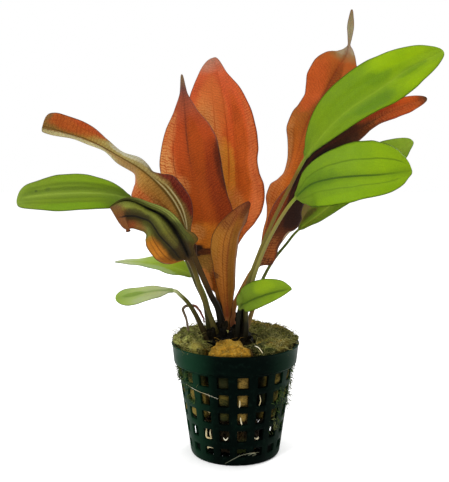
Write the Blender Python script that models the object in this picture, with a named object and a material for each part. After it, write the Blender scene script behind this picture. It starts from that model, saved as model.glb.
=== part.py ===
"""Potted amazon sword plant: fourteen leaves on a short crown, in rock wool, in a round net pot.

Metres, +Z up. The pot stands on z = 0 with its axis on Z. +X is to the right and -Y to the front.
Sizes below are in millimetres and are multiplied by MM where a mesh is made.
"""

import math

import bmesh
import bpy
from mathutils import Matrix, Vector

MM = 0.001

# ---------------------------------------------------------------- driving sizes, mm

POT_WALL = 1.0
POT_FLOOR_RADIUS = 17.7
POT_BODY_TOP = (22.8, 36.5)  # radius and height where the tapered body ends
POT_COLLAR = [(24.3, 37.1), (24.7, 40.6), (25.0, 44.4)]  # radius and height up the collar
POT_COLUMNS = 18
POT_WINDOW_SHARE = 4 / 7  # how much of a column is window, the rest being bar
POT_FIRST_WINDOW_TURN = math.radians(-90 + 7)  # middle of the window nearest the front
POT_WINDOW_ROWS = [(3.6, 7.0), (9.8, 14.4), (16.8, 21.6), (24.0, 28.9), (31.3, 35.8)]
POT_FLOOR_SLOT = (6.0, 13.0)  # inner and outer radius of the slots in the floor

GAP = 0.4  # clear space left between pieces that touch
WOOL_GAP = 0.6  # between the wool and the circle of the pot's wall, whose flat sides cut inside it
WOOL_HOLE_GAP = 0.7  # between the wool and the crown
WOOL_BOTTOM = 17.0
WOOL_HOLE_BOTTOM = 33.0  # below this height the hole in the wool narrows
# Rows of (turn, radius over the rim, height of the outer edge, height of the crest). Turns are in
# degrees from +X, the way +X turns to +Y.
WRAP_TOP = [(-61, 22.5, 45.0, 45.8), (-40, 23.4, 45.4, 46.2), (0, 24.2, 46.0, 46.8),
            (30, 24.2, 46.4, 47.6), (60, 24.0, 46.6, 48.4), (100, 23.6, 46.0, 47.2),
            (140, 24.0, 46.0, 47.0), (175, 24.4, 46.2, 47.6), (200, 24.4, 46.6, 48.2),
            (220, 23.8, 46.2, 48.0), (234, 22.8, 45.4, 46.2)]
WEDGE_TOP = [(-117, 22.4, 45.0, 45.4), (-108, 22.6, 45.0, 47.2), (-93, 22.8, 45.0, 48.4),
             (-83, 22.6, 45.0, 47.6), (-73, 22.4, 44.9, 45.2)]

CROWN_CENTRE = (-2.7, -0.5)
CROWN_RADII = (10.0, 7.0)
CROWN_BOTTOM, CROWN_TOP = 34.0, 48.2
ROOT_BALL_CENTRE = (-1.5, 0.0)
ROOT_BALL_RADIUS = 9.8
ROOT_BALL_BOTTOM = POT_WALL + GAP

STALK_START = 49.1  # height where the stalks leave the crown
BLADE_THICKNESS = 0.5
RIB_THICKNESS = 1.1
STALK_TO_BLADE = 0.03  # share of the blade over which the round stalk flattens

LEAF_SIDES = 8
WOOL_SIDES = 12  # one for each point of the wool's section
CROWN_SIDES, ROOT_BALL_SIDES = 16, 14
RUNNER_SIDES, RUNNER_RINGS = 6, 12
STALK_RINGS, BLADE_RINGS = 5, 20
WRAP_RINGS, WEDGE_RINGS = 21, 8

# Each leaf is one line of points from the crown to the tip, (x, y, z). The blade starts at the
# point numbered blade_from. stalk holds the stalk's radius at the crown and at the blade. blade
# holds rows of (place along the blade, left and right half widths, left and right folds). A fold
# is the angle in degrees by which that half rises towards the front of the leaf. roll turns the
# leaf round its own line, in degrees, at even steps from crown to tip: the right edge goes back.
LEAVES = {
    "leaf_tall_back": {
        "line": [(-4, 4.5, STALK_START), (-5, 5, 58), (-6, 6, 64), (-6.5, 9, 71.5), (-6, 11, 79.5),
                 (-3.5, 14, 93.5), (-2.5, 18, 113.5), (-4, 21, 134), (-6.5, 22.5, 148.5),
                 (-8.5, 23, 157.5)],
        "blade_from": 2,
        "stalk": (1.1, 0.8),
        "blade": [(0, 0.9, 0.9, 0, 0), (0.05, 5.8, 3.4, 5, 5), (0.1, 9.2, 4.6, 8, 8),
                  (0.15, 10.8, 5.8, 8, 10), (0.2, 11.3, 7, 10, 12), (0.25, 11.9, 8.8, 10, 12),
                  (0.3, 12.3, 12.1, 10, 8), (0.35, 12.7, 14.5, 9, 5), (0.4, 13.3, 15.1, 8, 4),
                  (0.45, 14.1, 14.7, 8, 7), (0.5, 14.8, 12.8, 8, 10), (0.55, 15.4, 12, 8, 10),
                  (0.6, 15.8, 12.6, 8, 10), (0.65, 16.1, 12.5, 9, 10), (0.7, 16, 11.9, 10, 10),
                  (0.75, 15.6, 11.2, 11, 10), (0.8, 14.8, 9.7, 12, 10), (0.85, 13.6, 7.9, 12, 10),
                  (0.9, 10.8, 5.2, 12, 10), (0.93, 8.9, 3.6, 11, 10), (0.96, 6.8, 2.6, 10, 10),
                  (0.98, 4.9, 1.9, 10, 10), (1, 0.2, 0.2, 10, 10)],
        "roll": [0, -4, -6, 0, 4],
    },
    "leaf_long_pointed": {
        "line": [(-4.8, 1, STALK_START), (-5.6, 1, 56), (-7.2, 1.2, 63), (-8.6, 1.5, 71), (-10.3, 1.4, 80),
                 (-12, 1, 88), (-14, 0, 100.5), (-17.5, 0, 114.5), (-19, 1, 125.5), (-20, 4, 139),
                 (-21, 7, 149)],
        "blade_from": 2,
        "stalk": (1.1, 0.8),
        "blade": [(0, 0.9, 0.9, 0, 0), (0.05, 3.2, 2.5, -4, -4), (0.1, 4.8, 4, -8, -8),
                  (0.15, 5.2, 6, -10, -10), (0.2, 5.4, 7.5, -12, -12), (0.236, 4.8, 9, -12, -12),
                  (0.277, 5.5, 11.5, -14, -14), (0.357, 8, 12.6, -16, -16), (0.437, 10.6, 11.6, -16, -18),
                  (0.518, 13, 12, -16, -18), (0.598, 12.9, 12.6, -16, -18), (0.679, 10.9, 12.4, -16, -18),
                  (0.759, 8.2, 10.3, -14, -18), (0.839, 4.2, 4.9, -10, -16), (0.92, 1.4, 1.4, 0, 0),
                  (1, 0.2, 0.2, 0, 0)],
        "roll": [0, 0, 0, 0, 0],
    },
    "leaf_young_folded": {
        "line": [(-2.9, -3, STALK_START), (-3.1, -3.3, 53.5), (-3.2, -4.3, 58.5), (-3.3, -6, 66),
                 (-3.3, -9, 77.5), (-2, -12, 87.5), (1, -14, 95.5), (5, -13, 100.5)],
        "blade_from": 1,
        "stalk": (1.1, 1.0),
        "blade": [(0, 1.1, 1.1, 0, 0), (0.1, 2.2, 2.1, -20, -20), (0.15, 3, 2.7, -25, -28),
                  (0.2, 3.6, 3.3, -28, -34), (0.264, 4.6, 4.4, -30, -40), (0.356, 5.4, 4.9, -30, -42),
                  (0.448, 6.2, 5.1, -30, -42), (0.54, 7.4, 5.4, -30, -42), (0.632, 7.6, 5.2, -30, -42),
                  (0.724, 6.4, 4.6, -30, -38), (0.816, 4.5, 4.6, -28, -30), (0.908, 2.5, 3.6, -25, -25),
                  (0.963, 1.4, 2, -20, -20), (1, 0.2, 0.2, 0, 0)],
        "roll": [0, 0, 5, 5, 0],
    },
    "leaf_twisted_left": {
        "line": [(-5.1, -1.9, STALK_START), (-6.8, -2.3, 57.6), (-9.8, -2.8, 63.8), (-13.3, -3.3, 72),
                 (-16.9, -6, 81.4), (-18, -7, 85.5), (-22.5, -12, 98.5), (-31.5, -17, 110),
                 (-42.5, -15, 117), (-54.5, -10, 123), (-65.5, -9, 126.5), (-72, -10, 128.5)],
        "blade_from": 5,
        "stalk": (1.2, 1.1),
        "blade": [(0, 0.9, 0.9, 0, 0), (0.05, 2.6, 2.2, 0, -20), (0.1, 4.6, 4.6, 0, -25),
                  (0.2, 8, 7.4, 0, -30), (0.3, 9.6, 7.6, 0, -35), (0.35, 9.9, 7, 0, -62),
                  (0.4, 10.4, 6.2, -10, -74), (0.44, 8.6, 6, -35, -66), (0.5, 6.2, 5.6, -60, -55),
                  (0.6, 5.5, 5, -57, -68), (0.7, 4.7, 4.6, -72, -46), (0.78, 4.6, 5.6, -66, -10),
                  (0.85, 4.6, 6.4, -70, 10), (0.93, 4.6, 6.6, -60, 10), (0.98, 3.4, 5.6, -45, 10),
                  (1, 1, 2, 0, 0)],
        "roll": [0, 0, 0, 0, 0],
        "curl": (0, -30),
    },
    "leaf_tall_wavy": {
        "line": [(-1.5, 2, STALK_START), (-0.8, 2, 57), (1.6, 2, 62.6), (5.4, 2.4, 70), (9.2, 4, 76),
                 (12.5, 6, 84), (16, 9, 94), (20.5, 12, 105), (25, 15, 118), (29.5, 18, 131),
                 (35.5, 20, 141), (41, 20, 151.5), (45, 19, 158), (46, 17, 164.5), (46.3, 15, 175.2)],
        "blade_from": 4,
        "stalk": (1.2, 0.8),
        "blade": [(0, 0.9, 0.9, 0, 0), (0.04, 1.2, 2.9, 0, 0), (0.08, 2.1, 4.1, 0, 5),
                  (0.12, 2.8, 5.2, -20, 8), (0.16, 3.4, 6.1, -35, 8), (0.2, 4.6, 6.7, -25, 8),
                  (0.24, 6.3, 7.1, 0, 8), (0.28, 6.5, 7.5, -10, 8), (0.32, 6, 8, -45, 8),
                  (0.36, 5.8, 8.4, -62, 8), (0.4, 6, 8.7, -60, 8), (0.44, 6.3, 8.9, -50, 8),
                  (0.48, 6.9, 9.3, -37, 8), (0.52, 7.6, 10, -15, 8), (0.56, 7.6, 10.3, -15, 8),
                  (0.6, 7.9, 10.3, -34, 8), (0.64, 8, 10.2, -35, 8), (0.68, 8.9, 10, -22, 8),
                  (0.72, 10.1, 9.8, -5, 8), (0.76, 10, 9.4, 0, 10), (0.8, 8, 8.3, 0, 10),
                  (0.835, 5, 4.4, 10, 15), (0.86, 1.8, 2, 10, 15), (0.875, 0.55, 0.6, 5, 5),
                  (0.9, 0.9, 0.9, 0, 0), (0.94, 1.5, 1.3, 0, 0), (0.98, 0.9, 0.8, 0, 0), (1, 0.2, 0.2, 0, 0)],
        "roll": [0, 0, -5, 0, 0],
    },
    "leaf_red_right": {
        "line": [(2.3, 0.2, STALK_START), (3.4, -0.2, 60), (6.3, -1, 68.4), (8.4, -1, 74), (13.5, 0, 84.5),
                 (19, 0, 95.5), (24, 0, 107), (29.5, -1, 117), (38, -2, 123), (49.5, -2, 129),
                 (61, 0, 135), (74, 3, 139.5)],
        "blade_from": 3,
        "stalk": (1.1, 0.8),
        "blade": [(0, 0.9, 0.9, 0, 0), (0.02, 0.9, 3.4, 0, -10), (0.035, 0.9, 5.2, 0, -10),
                  (0.07, 1.4, 5.4, 0, -10), (0.11, 2.6, 4.5, 0, -10), (0.15, 3.6, 4.9, 0, -10),
                  (0.18, 4.3, 5.5, 0, -10), (0.2, 4.9, 7, 0, -10), (0.225, 5.2, 7.8, 0, -10),
                  (0.245, 5.2, 7.7, 0, -10), (0.27, 4.9, 6.4, 0, -12), (0.3, 4.3, 6, 0, -12),
                  (0.35, 2.8, 6.4, 5, -12), (0.4, 2, 7.8, 10, -10), (0.5, 2.6, 8.6, 5, -10),
                  (0.6, 6.2, 6.9, 5, -15), (0.65, 6.9, 5.2, 5, -20), (0.7, 7.5, 3.9, 5, -25),
                  (0.74, 7.2, 2.7, 5, -25), (0.78, 6.4, 2.3, 5, -20), (0.82, 5.4, 2.8, 5, -20),
                  (0.85, 4.8, 3.2, 5, -15), (0.9, 3.5, 3.2, 5, -10), (0.95, 2.7, 2.4, 0, 0),
                  (1, 0.2, 0.2, 0, 0)],
        "roll": [0, 0, 0, -10, -10],
    },
    "leaf_striped_drooping": {
        "line": [(-7.8, -4, STALK_START), (-10.2, -4.8, 56.6), (-12.9, -6.3, 64), (-14.9, -9, 71.4),
                 (-16.3, -11.8, 76), (-17.4, -13.8, 79), (-19.8, -19.4, 85.8), (-22.6, -23.8, 91.8),
                 (-26.4, -28, 96.6), (-31.2, -31, 99.4), (-36, -33.5, 101.8), (-39.8, -34.5, 101.9),
                 (-43.8, -34.5, 99.9)],
        "blade_from": 5,
        "stalk": (0.95, 1.0),
        "blade": [(0, 0.9, 0.9, 0, 0), (0.02, 4.6, 2, 0, 15), (0.045, 7.6, 2.5, 0, 15),
                  (0.08, 9.4, 2.7, 0, 15), (0.12, 10.4, 3, 0, 15), (0.15, 10.9, 4, 0, 15),
                  (0.18, 11.3, 5.7, 0, 20), (0.22, 11.6, 6.5, 0, 25), (0.27, 11.9, 6.3, 0, 30),
                  (0.31, 12, 5, 0, 30), (0.36, 12, 3.7, 0, 30), (0.43, 11.6, 3.7, 0, 30),
                  (0.5, 10.6, 3.6, 0, 30), (0.57, 9.2, 3.1, 0, 30), (0.64, 8.2, 2.8, 0, 30),
                  (0.72, 8.6, 2.4, 0, 30), (0.79, 10.2, 2, 0, 30), (0.85, 10.8, 1.4, 0, 30),
                  (0.92, 10.7, 0.9, 0, 30), (0.985, 8.8, 0.5, 0, 20), (1, 0.6, 0.3, 0, 0)],
        "roll": [0, 5, 10, 10, 10],
    },
    "leaf_green_left": {
        "line": [(-10.2, 0.6, STALK_START), (-12, -0.5, 60), (-15, -2, 67), (-18, -5, 75.5),
                 (-21, -10, 83), (-25.5, -16, 91.5), (-31.5, -21, 98.5), (-37, -25, 102),
                 (-44, -28, 104), (-53, -30, 104.5), (-63.5, -30, 104), (-73, -28, 103),
                 (-78.2, -25, 102)],
        "blade_from": 7,
        "stalk": (0.85, 0.65),
        "blade": [(0, 0.9, 0.9, 0, 0), (0.05, 3.6, 1.6, 5, 5), (0.1, 4.8, 2.8, 8, 8),
                  (0.2, 6.2, 5, 8, 8), (0.3, 6.8, 6.3, 8, 8), (0.4, 7.2, 7.4, 6, 8),
                  (0.5, 7.4, 7.8, 6, 8), (0.6, 7.2, 7.7, 6, 8), (0.7, 6.4, 7, 6, 8),
                  (0.8, 5.4, 6.1, 6, 8), (0.9, 4.2, 5, 6, 8), (0.96, 3, 3.5, 6, 8),
                  (1, 0.3, 0.3, 6, 8)],
        "roll": [0, 10, 25, 35, 30],
    },
    "leaf_rear_left": {
        "line": [(-9.3, 3.5, STALK_START), (-11.8, 7, 59.5), (-14.3, 11, 65), (-16.5, 13, 68),
                 (-23.5, 18, 70.5), (-32.5, 23, 72), (-42.5, 28, 72), (-51.8, 32, 71.5)],
        "blade_from": 3,
        "stalk": (1.0, 0.7),
        "blade": [(0, 0.8, 0.8, 0, 0), (0.1, 3.4, 3, 8, 8), (0.2, 4.8, 5, 8, 8), (0.3, 5, 5.6, 8, 8),
                  (0.4, 4.4, 5.2, 8, 8), (0.5, 3.7, 4.4, 8, 8), (0.6, 3, 3.6, 8, 8),
                  (0.7, 2.4, 2.7, 8, 8), (0.8, 1.8, 1.8, 8, 8), (0.9, 1.1, 1.1, 8, 8),
                  (1, 0.2, 0.2, 8, 8)],
        "roll": [0, 25, 55, 55, 50],
    },
    "leaf_low_left": {
        "line": [(-12.4, -3.2, STALK_START), (-15.6, -5, 56.2), (-18.2, -8, 61.2), (-21.3, -10.5, 65),
                 (-23.4, -12.3, 66.8), (-30, -16, 67.4), (-37.5, -18, 66.2), (-44.6, -19, 65)],
        "blade_from": 4,
        "stalk": (1.0, 0.7),
        "blade": [(0, 0.8, 0.8, 0, 0), (0.1, 1.1, 1.1, 6, 6), (0.2, 2.1, 1.5, 6, 6),
                  (0.3, 3, 2, 6, 6), (0.4, 3.5, 2.3, 6, 6), (0.5, 3.9, 2.5, 6, 6),
                  (0.6, 4.1, 2.8, 6, 6), (0.7, 4.3, 3.1, 6, 6), (0.8, 4.3, 3.2, 6, 6),
                  (0.9, 3.5, 2.8, 6, 6), (0.96, 2.3, 2, 6, 6), (1, 0.3, 0.3, 6, 6)],
        "roll": [0, 10, 25, 40, 40],
    },
    "leaf_large_green": {
        "line": [(1.3, -2.7, STALK_START), (2.2, -3.3, 57.5), (4.7, -5, 67.8), (8.5, -7, 79.2),
                 (13.8, -9.4, 92.5), (19.2, -12.2, 104.3), (24.9, -16.8, 116.2), (31, -20, 125),
                 (39.5, -23, 133.5),
                 (52, -25, 142), (60.5, -24, 148), (73.3, -20, 154.5)],
        "blade_from": 6,
        "stalk": (0.8, 0.6),
        "blade": [(0, 0.9, 0.9, 0, 0), (0.05, 2.2, 1.2, 6, 6), (0.1, 4.2, 2.2, 8, 8),
                  (0.2, 7.6, 4.2, 8, 8), (0.3, 9.6, 5.6, 8, 8), (0.4, 11, 6.4, 8, 8),
                  (0.5, 11.6, 7.2, 8, 8), (0.6, 11.3, 8, 8, 8), (0.7, 10.1, 8, 8, 8),
                  (0.8, 8, 6.8, 8, 8), (0.9, 5.6, 4.8, 8, 8), (0.95, 3.8, 3.3, 8, 8),
                  (1, 0.2, 0.2, 8, 8)],
        "roll": [0, -5, -15, -25, -25],
    },
    "leaf_oval_green": {
        "line": [(3.9, -4.8, STALK_START), (4.1, -5.6, 59), (6.4, -8.3, 69.6), (9.4, -11, 79.3),
                 (12.9, -14, 87.8), (17.1, -17.5, 96), (21.1, -22, 102.2), (26.3, -26, 107.3),
                 (33, -30, 109.5), (41, -33, 110.5), (49, -34, 111), (60.3, -33, 112.4)],
        "blade_from": 6,
        "stalk": (0.8, 0.6),
        "blade": [(0, 0.9, 0.9, 0, 0), (0.05, 1.8, 4.4, 6, 6), (0.1, 3, 7.2, 8, 8),
                  (0.2, 6.6, 9.2, 8, 8), (0.3, 9.4, 10.4, 8, 8), (0.4, 11, 10.9, 8, 8),
                  (0.5, 12.4, 10.9, 8, 8), (0.6, 12.8, 9.8, 8, 8), (0.7, 12.8, 8.6, 8, 8),
                  (0.8, 11.8, 7.2, 8, 8), (0.9, 9.4, 5, 8, 8), (0.96, 6, 2.5, 8, 8),
                  (1, 0.3, 0.3, 8, 8)],
        "roll": [0, -5, -20, -30, -25],
    },
    "leaf_rear_right": {
        "line": [(4.6, 3.4, STALK_START), (7.2, 5, 56.4), (9.2, 6.2, 62.8), (11.4, 7.4, 68.6),
                 (15.6, 11, 75.3), (20.8, 14, 81.2), (26, 16, 87), (36, 18, 94.3), (47.7, 20, 104),
                 (60, 21, 113.5), (73.2, 20, 123.4)],
        "blade_from": 6,
        "stalk": (0.75, 0.5),
        "blade": [(0, 0.8, 0.8, 0, 0), (0.03, 2.6, 1.2, 6, 6), (0.06, 5, 1.5, 6, 6), (0.1, 7.8, 2, 8, 8),
                  (0.14, 9, 2.6, 8, 8), (0.2, 8.6, 3, 8, 8), (0.3, 7.2, 4, 8, 8), (0.4, 6.8, 4.8, 8, 8),
                  (0.5, 7, 5.4, 8, 8),
                  (0.6, 7.8, 6.2, 8, 8), (0.7, 8.6, 6, 8, 8), (0.8, 8, 5.4, 8, 8),
                  (0.9, 5.8, 4.2, 8, 8), (0.95, 4, 2.6, 8, 8), (1, 0.2, 0.2, 8, 8)],
        "roll": [0, -5, -15, -20, -20],
    },
    "leaf_small_front": {
        "line": [(0.6, -6.2, STALK_START), (1.6, -8.4, 59.2), (4.2, -11.8, 62.2), (8.2, -16, 64.9),
                 (13.5, -20, 67.5), (20, -24, 69.6)],
        "blade_from": 1,
        "stalk": (0.9, 0.8),
        "blade": [(0, 0.9, 0.9, 0, 0), (0.04, 2, 1.8, 6, 6), (0.1, 4.1, 2.8, 6, 6), (0.2, 5.4, 3.7, 8, 8),
                  (0.3, 6.1, 4, 8, 8), (0.43, 6.4, 4.1, 8, 8), (0.56, 6.1, 3.9, 8, 8),
                  (0.7, 5.3, 3.4, 8, 8), (0.8, 4.5, 2.7, 8, 8), (0.89, 3.4, 1.9, 8, 8), (0.96, 1.8, 1, 8, 8),
                  (1, 0.3, 0.3, 8, 8)],
        "roll": [0, -15, -25, -25, -25],
    },
}

# The old runner leaves the wool on the left, arches over and comes back down to the crown.
RUNNER_LINE = [(-18.5, -4.5, 49.5), (-18.7, -4.4, 51.6), (-19.3, -4.2, 54.7), (-20.5, -3.5, 57.6),
               (-19.3, -2, 58.9), (-16.2, -0.5, 58.6), (-14.4, 0.4, 57), (-12.9, 1, 54),
               (-12.4, 1.9, 51.5)]
RUNNER_RADIUS = 0.5

COLOURS = {  # base colour (linear), roughness
    "pot": ((0.006, 0.028, 0.022), 0.38),
    "wool": ((0.12, 0.11, 0.035), 0.95),
    "wool_ochre": ((0.33, 0.19, 0.04), 0.95),
    "crown": ((0.012, 0.010, 0.008), 0.8),
    "roots": ((0.045, 0.032, 0.018), 0.85),
    "red_leaf": ((0.48, 0.09, 0.02), 0.45),
    "green_leaf": ((0.22, 0.38, 0.03), 0.45),
    "runner": ((0.22, 0.12, 0.09), 0.7),
}
RED_LEAVES = {"leaf_tall_back", "leaf_long_pointed", "leaf_young_folded", "leaf_twisted_left",
              "leaf_tall_wavy", "leaf_red_right"}


# ---------------------------------------------------------------- shared helpers

def clear_scene():
    for thing in list(bpy.data.objects):
        bpy.data.objects.remove(thing)


def material(name):
    """One Principled material for each finish, made once."""
    made = bpy.data.materials.get(name)
    if made is None:
        made = bpy.data.materials.new(name)
        made.use_nodes = True
        shader = made.node_tree.nodes["Principled BSDF"]
        colour, roughness = COLOURS[name]
        shader.inputs["Base Color"].default_value = (*colour, 1)
        shader.inputs["Roughness"].default_value = roughness
        shader.inputs["Metallic"].default_value = 0
        made.diffuse_color = (*colour, 1)
    return made


def add_piece(name, bm, finish):
    """Puts a bmesh in the scene as a named object with its own smooth-shaded mesh."""
    if bm.calc_volume(signed=True) < 0:
        bmesh.ops.reverse_faces(bm, faces=bm.faces)
    mesh = bpy.data.meshes.new(name)
    bm.to_mesh(mesh)
    bm.free()
    mesh.shade_smooth()
    mesh.set_sharp_from_angle(angle=math.radians(40))
    mesh.materials.append(material(finish))
    piece = bpy.data.objects.new(name, mesh)
    bpy.context.scene.collection.objects.link(piece)
    return piece


def smooth_between(points, place):
    """Catmull-Rom value at a place counted in points, for tuples or Vectors of any length."""
    last = len(points) - 1
    i = min(int(place), last - 1)
    t = place - i
    a, b, c, d = (Vector(points[min(max(k, 0), last)]) for k in (i - 1, i, i + 1, i + 2))
    return 0.5 * (2 * b + (c - a) * t + (2 * a - 5 * b + 4 * c - d) * t * t
                  + (3 * b - a - 3 * c + d) * t ** 3)


def at_station(rows, along):
    """Straight-line value between rows of (place, values...), at one place."""
    for low, high in zip(rows, rows[1:]):
        if along <= high[0]:
            t = (along - low[0]) / (high[0] - low[0])
            return [p + (q - p) * t for p, q in zip(low[1:], high[1:])]
    return list(rows[-1][1:])


class Line:
    """A smooth curve through a few points, read by the distance along it."""

    STEPS = 24  # samples between two points

    def __init__(self, points):
        self.points = points
        self.step = 1 / self.STEPS
        places = [k * self.step for k in range((len(points) - 1) * self.STEPS + 1)]
        self.samples = [smooth_between(points, place) for place in places]
        self.travel = [0.0]
        for before, after in zip(self.samples, self.samples[1:]):
            self.travel.append(self.travel[-1] + (after - before).length)
        self.length = self.travel[-1]

    def distance_to_point(self, number):
        return self.travel[number * self.STEPS]

    def at(self, distance):
        """Position and direction at a distance from the start."""
        distance = min(max(distance, 0), self.length)
        k = 0
        while k < len(self.travel) - 2 and self.travel[k + 1] < distance:
            k += 1
        t = (distance - self.travel[k]) / (self.travel[k + 1] - self.travel[k])
        here = self.samples[k].lerp(self.samples[k + 1], t)
        before = self.samples[max(k - 2, 0)]
        after = self.samples[min(k + 3, len(self.samples) - 1)]
        return here, (after - before).normalized()


def ringed_tube(sides, rings):
    """A closed tube of rings along z from -0.5 to 0.5, radius 1, ready to be bent."""
    bm = bmesh.new()
    bmesh.ops.create_cone(bm, cap_ends=True, segments=sides, radius1=1, radius2=1, depth=1)
    upright = [edge for edge in bm.edges if abs(edge.verts[0].co.z - edge.verts[1].co.z) > 0.5]
    bmesh.ops.subdivide_edges(bm, edges=upright, cuts=rings - 2, use_grid_fill=True)
    return bm


# ---------------------------------------------------------------- leaves

def blade_offset(half_width, fold, curl, share):
    """Distance across and out of the blade, for a point at this share of one half.

    The half rises at the angle fold on average, and turns by curl between the rib and the edge.
    """
    first = math.radians(fold - curl / 2)
    turned = math.radians(curl) * share
    if abs(turned) < 1e-6:
        return half_width * share * math.cos(first), half_width * share * math.sin(first)
    reach = half_width * share / turned
    return (reach * (math.sin(first + turned) - math.sin(first)),
            reach * (math.cos(first) - math.cos(first + turned)))


def blade_section(leaf, along, turn):
    """Point of the section (to the right, to the front) at a place along the blade and a turn round it."""
    left_width, right_width, left_fold, right_fold = at_station(leaf["blade"], along)
    left_curl, right_curl = leaf.get("curl", (0, 0))
    place = 1 - 2 * abs(turn) / math.pi  # -1 at the left edge, 1 at the right edge
    share = abs(place)
    if place > 0:
        over, out = blade_offset(right_width, right_fold, right_curl, share)
    else:
        over, out = blade_offset(left_width, left_fold, left_curl, share)
        over = -over
    rib = (RIB_THICKNESS - BLADE_THICKNESS) * max(0, 1 - 3 * share) * (1 - 0.6 * along)
    thickness = BLADE_THICKNESS * (1 - share ** 3) + rib
    return Vector((over, out + math.copysign(thickness / 2, turn)))


def make_leaf(name, leaf):
    """A stalk that widens into a blade: each ring of a tube becomes one section of the leaf."""
    line = Line(leaf["line"])
    stalk_length = line.distance_to_point(leaf["blade_from"])
    rings = STALK_RINGS + BLADE_RINGS
    rolls = [(step / (len(leaf["roll"]) - 1), roll) for step, roll in enumerate(leaf["roll"])]
    radii = [(0, leaf["stalk"][0]), (1, leaf["stalk"][1])]
    bm = ringed_tube(LEAF_SIDES, rings)
    for vert in bm.verts:
        turn = math.atan2(vert.co.y, vert.co.x)
        ring = round((vert.co.z + 0.5) * (rings - 1))
        up_stalk = min(ring / STALK_RINGS, 1)
        step = max(ring - STALK_RINGS, 0) / (BLADE_RINGS - 1)
        along = 0.5 - 0.5 * math.cos(math.pi * step)  # closer rings near the base and the tip
        distance = stalk_length * up_stalk + (line.length - stalk_length) * along
        here, forward = line.at(distance)
        across = Vector((0, 1, 0)).cross(forward).normalized()
        front = across.cross(forward)
        roll = math.radians(at_station(rolls, distance / line.length)[0])
        right = across * math.cos(roll) - front * math.sin(roll)
        front = front * math.cos(roll) + across * math.sin(roll)

        round_stalk = Vector((math.cos(turn), math.sin(turn))) * at_station(radii, up_stalk)[0]
        mix = min(along / STALK_TO_BLADE, 1)
        flat = round_stalk.lerp(blade_section(leaf, along, turn), mix * mix * (3 - 2 * mix))
        vert.co = (here + right * flat.x + front * flat.y) * MM
    add_piece(name, bm, "red_leaf" if name in RED_LEAVES else "green_leaf")


# ---------------------------------------------------------------- pot

def pot_outside(height):
    """Radius of the pot's outer face at a height, up to its rim."""
    outline = [(0.0, POT_FLOOR_RADIUS)] + [(high, radius) for radius, high in (POT_BODY_TOP, *POT_COLLAR)]
    return at_station(outline, height)[0]


def make_pot():
    """A thin surface turned round Z, with the window faces taken out, then given its wall."""
    profile = [(0.0, 0.0), (POT_FLOOR_SLOT[0], 0.0), (POT_FLOOR_SLOT[1], 0.0), (POT_FLOOR_RADIUS, 0.0)]
    for height in (*sum(POT_WINDOW_ROWS, ()), POT_BODY_TOP[1]):
        profile.append((pot_outside(height), height))
    profile += POT_COLLAR
    pitch = 2 * math.pi / POT_COLUMNS
    start = POT_FIRST_WINDOW_TURN - pitch * POT_WINDOW_SHARE / 2
    bm = bmesh.new()
    verts = [bm.verts.new((radius * MM * math.cos(start), radius * MM * math.sin(start), height * MM))
             for radius, height in profile]
    edges = [bm.edges.new(pair) for pair in zip(verts, verts[1:])]
    bmesh.ops.spin(bm, geom=verts + edges, cent=(0, 0, 0), axis=(0, 0, 1), angle=2 * math.pi,
                   steps=2 * POT_COLUMNS, use_merge=True)
    bmesh.ops.remove_doubles(bm, verts=bm.verts, dist=0.01 * MM)
    for vert in bm.verts:
        if math.hypot(vert.co.x, vert.co.y) > 0.01 * MM:
            turn = math.atan2(vert.co.y, vert.co.x) - start
            if round(2 * turn / pitch) % 2:  # the far edge of a window, which the spin put half way
                vert.co = Matrix.Rotation((POT_WINDOW_SHARE - 0.5) * pitch, 3, "Z") @ vert.co
    cut = []
    for face in bm.faces:
        middle = face.calc_center_median()
        radius, height = math.hypot(middle.x, middle.y) / MM, middle.z / MM
        column = (math.atan2(middle.y, middle.x) - start) / pitch % 1
        in_row = any(low < height < high for low, high in POT_WINDOW_ROWS)
        in_slot = height < 0.01 and POT_FLOOR_SLOT[0] < radius < POT_FLOOR_SLOT[1]
        if column < POT_WINDOW_SHARE and (in_row or in_slot):
            cut.append(face)
    bmesh.ops.delete(bm, geom=cut, context="FACES")
    pot = add_piece("net_pot", bm, "pot")
    wall = pot.modifiers.new("wall", "SOLIDIFY")
    wall.thickness = POT_WALL * MM
    wall.offset = -1
    wall.use_even_offset = True


# ---------------------------------------------------------------- wool, crown and roots

def wool_section(turn, top):
    """The wool's outline on one side of the crown, from its inner foot round to the edge of the hole."""
    lip, edge, crest = at_station(top, turn)
    angle = math.radians(turn)
    outward = Vector((math.cos(angle), math.sin(angle), 0))
    hole = Vector((CROWN_CENTRE[0] + (CROWN_RADII[0] + WOOL_HOLE_GAP) * outward.x,
                   CROWN_CENTRE[1] + (CROWN_RADII[1] + WOOL_HOLE_GAP) * outward.y, 0))
    rim_height = POT_COLLAR[-1][1]

    def against_wall(height, inset=0.0):
        return outward * (pot_outside(height) - POT_WALL - WOOL_GAP - inset), height

    return [(hole * 0.9, WOOL_BOTTOM),
            against_wall(WOOL_BOTTOM),
            against_wall((WOOL_BOTTOM + POT_BODY_TOP[1]) / 2),
            against_wall(POT_BODY_TOP[1] - 0.4),
            against_wall(rim_height - 2.9, 0.8),
            (against_wall(rim_height - 1.4)[0], rim_height + GAP),
            (outward * lip, edge),
            (outward * (lip - 1.8), (edge + crest) / 2 + 0.6),
            ((hole + outward * lip) / 2 + outward, crest),
            (hole * 1.04, crest - 2),
            (hole, crest - 4.5),
            (hole, WOOL_HOLE_BOTTOM)]


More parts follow.
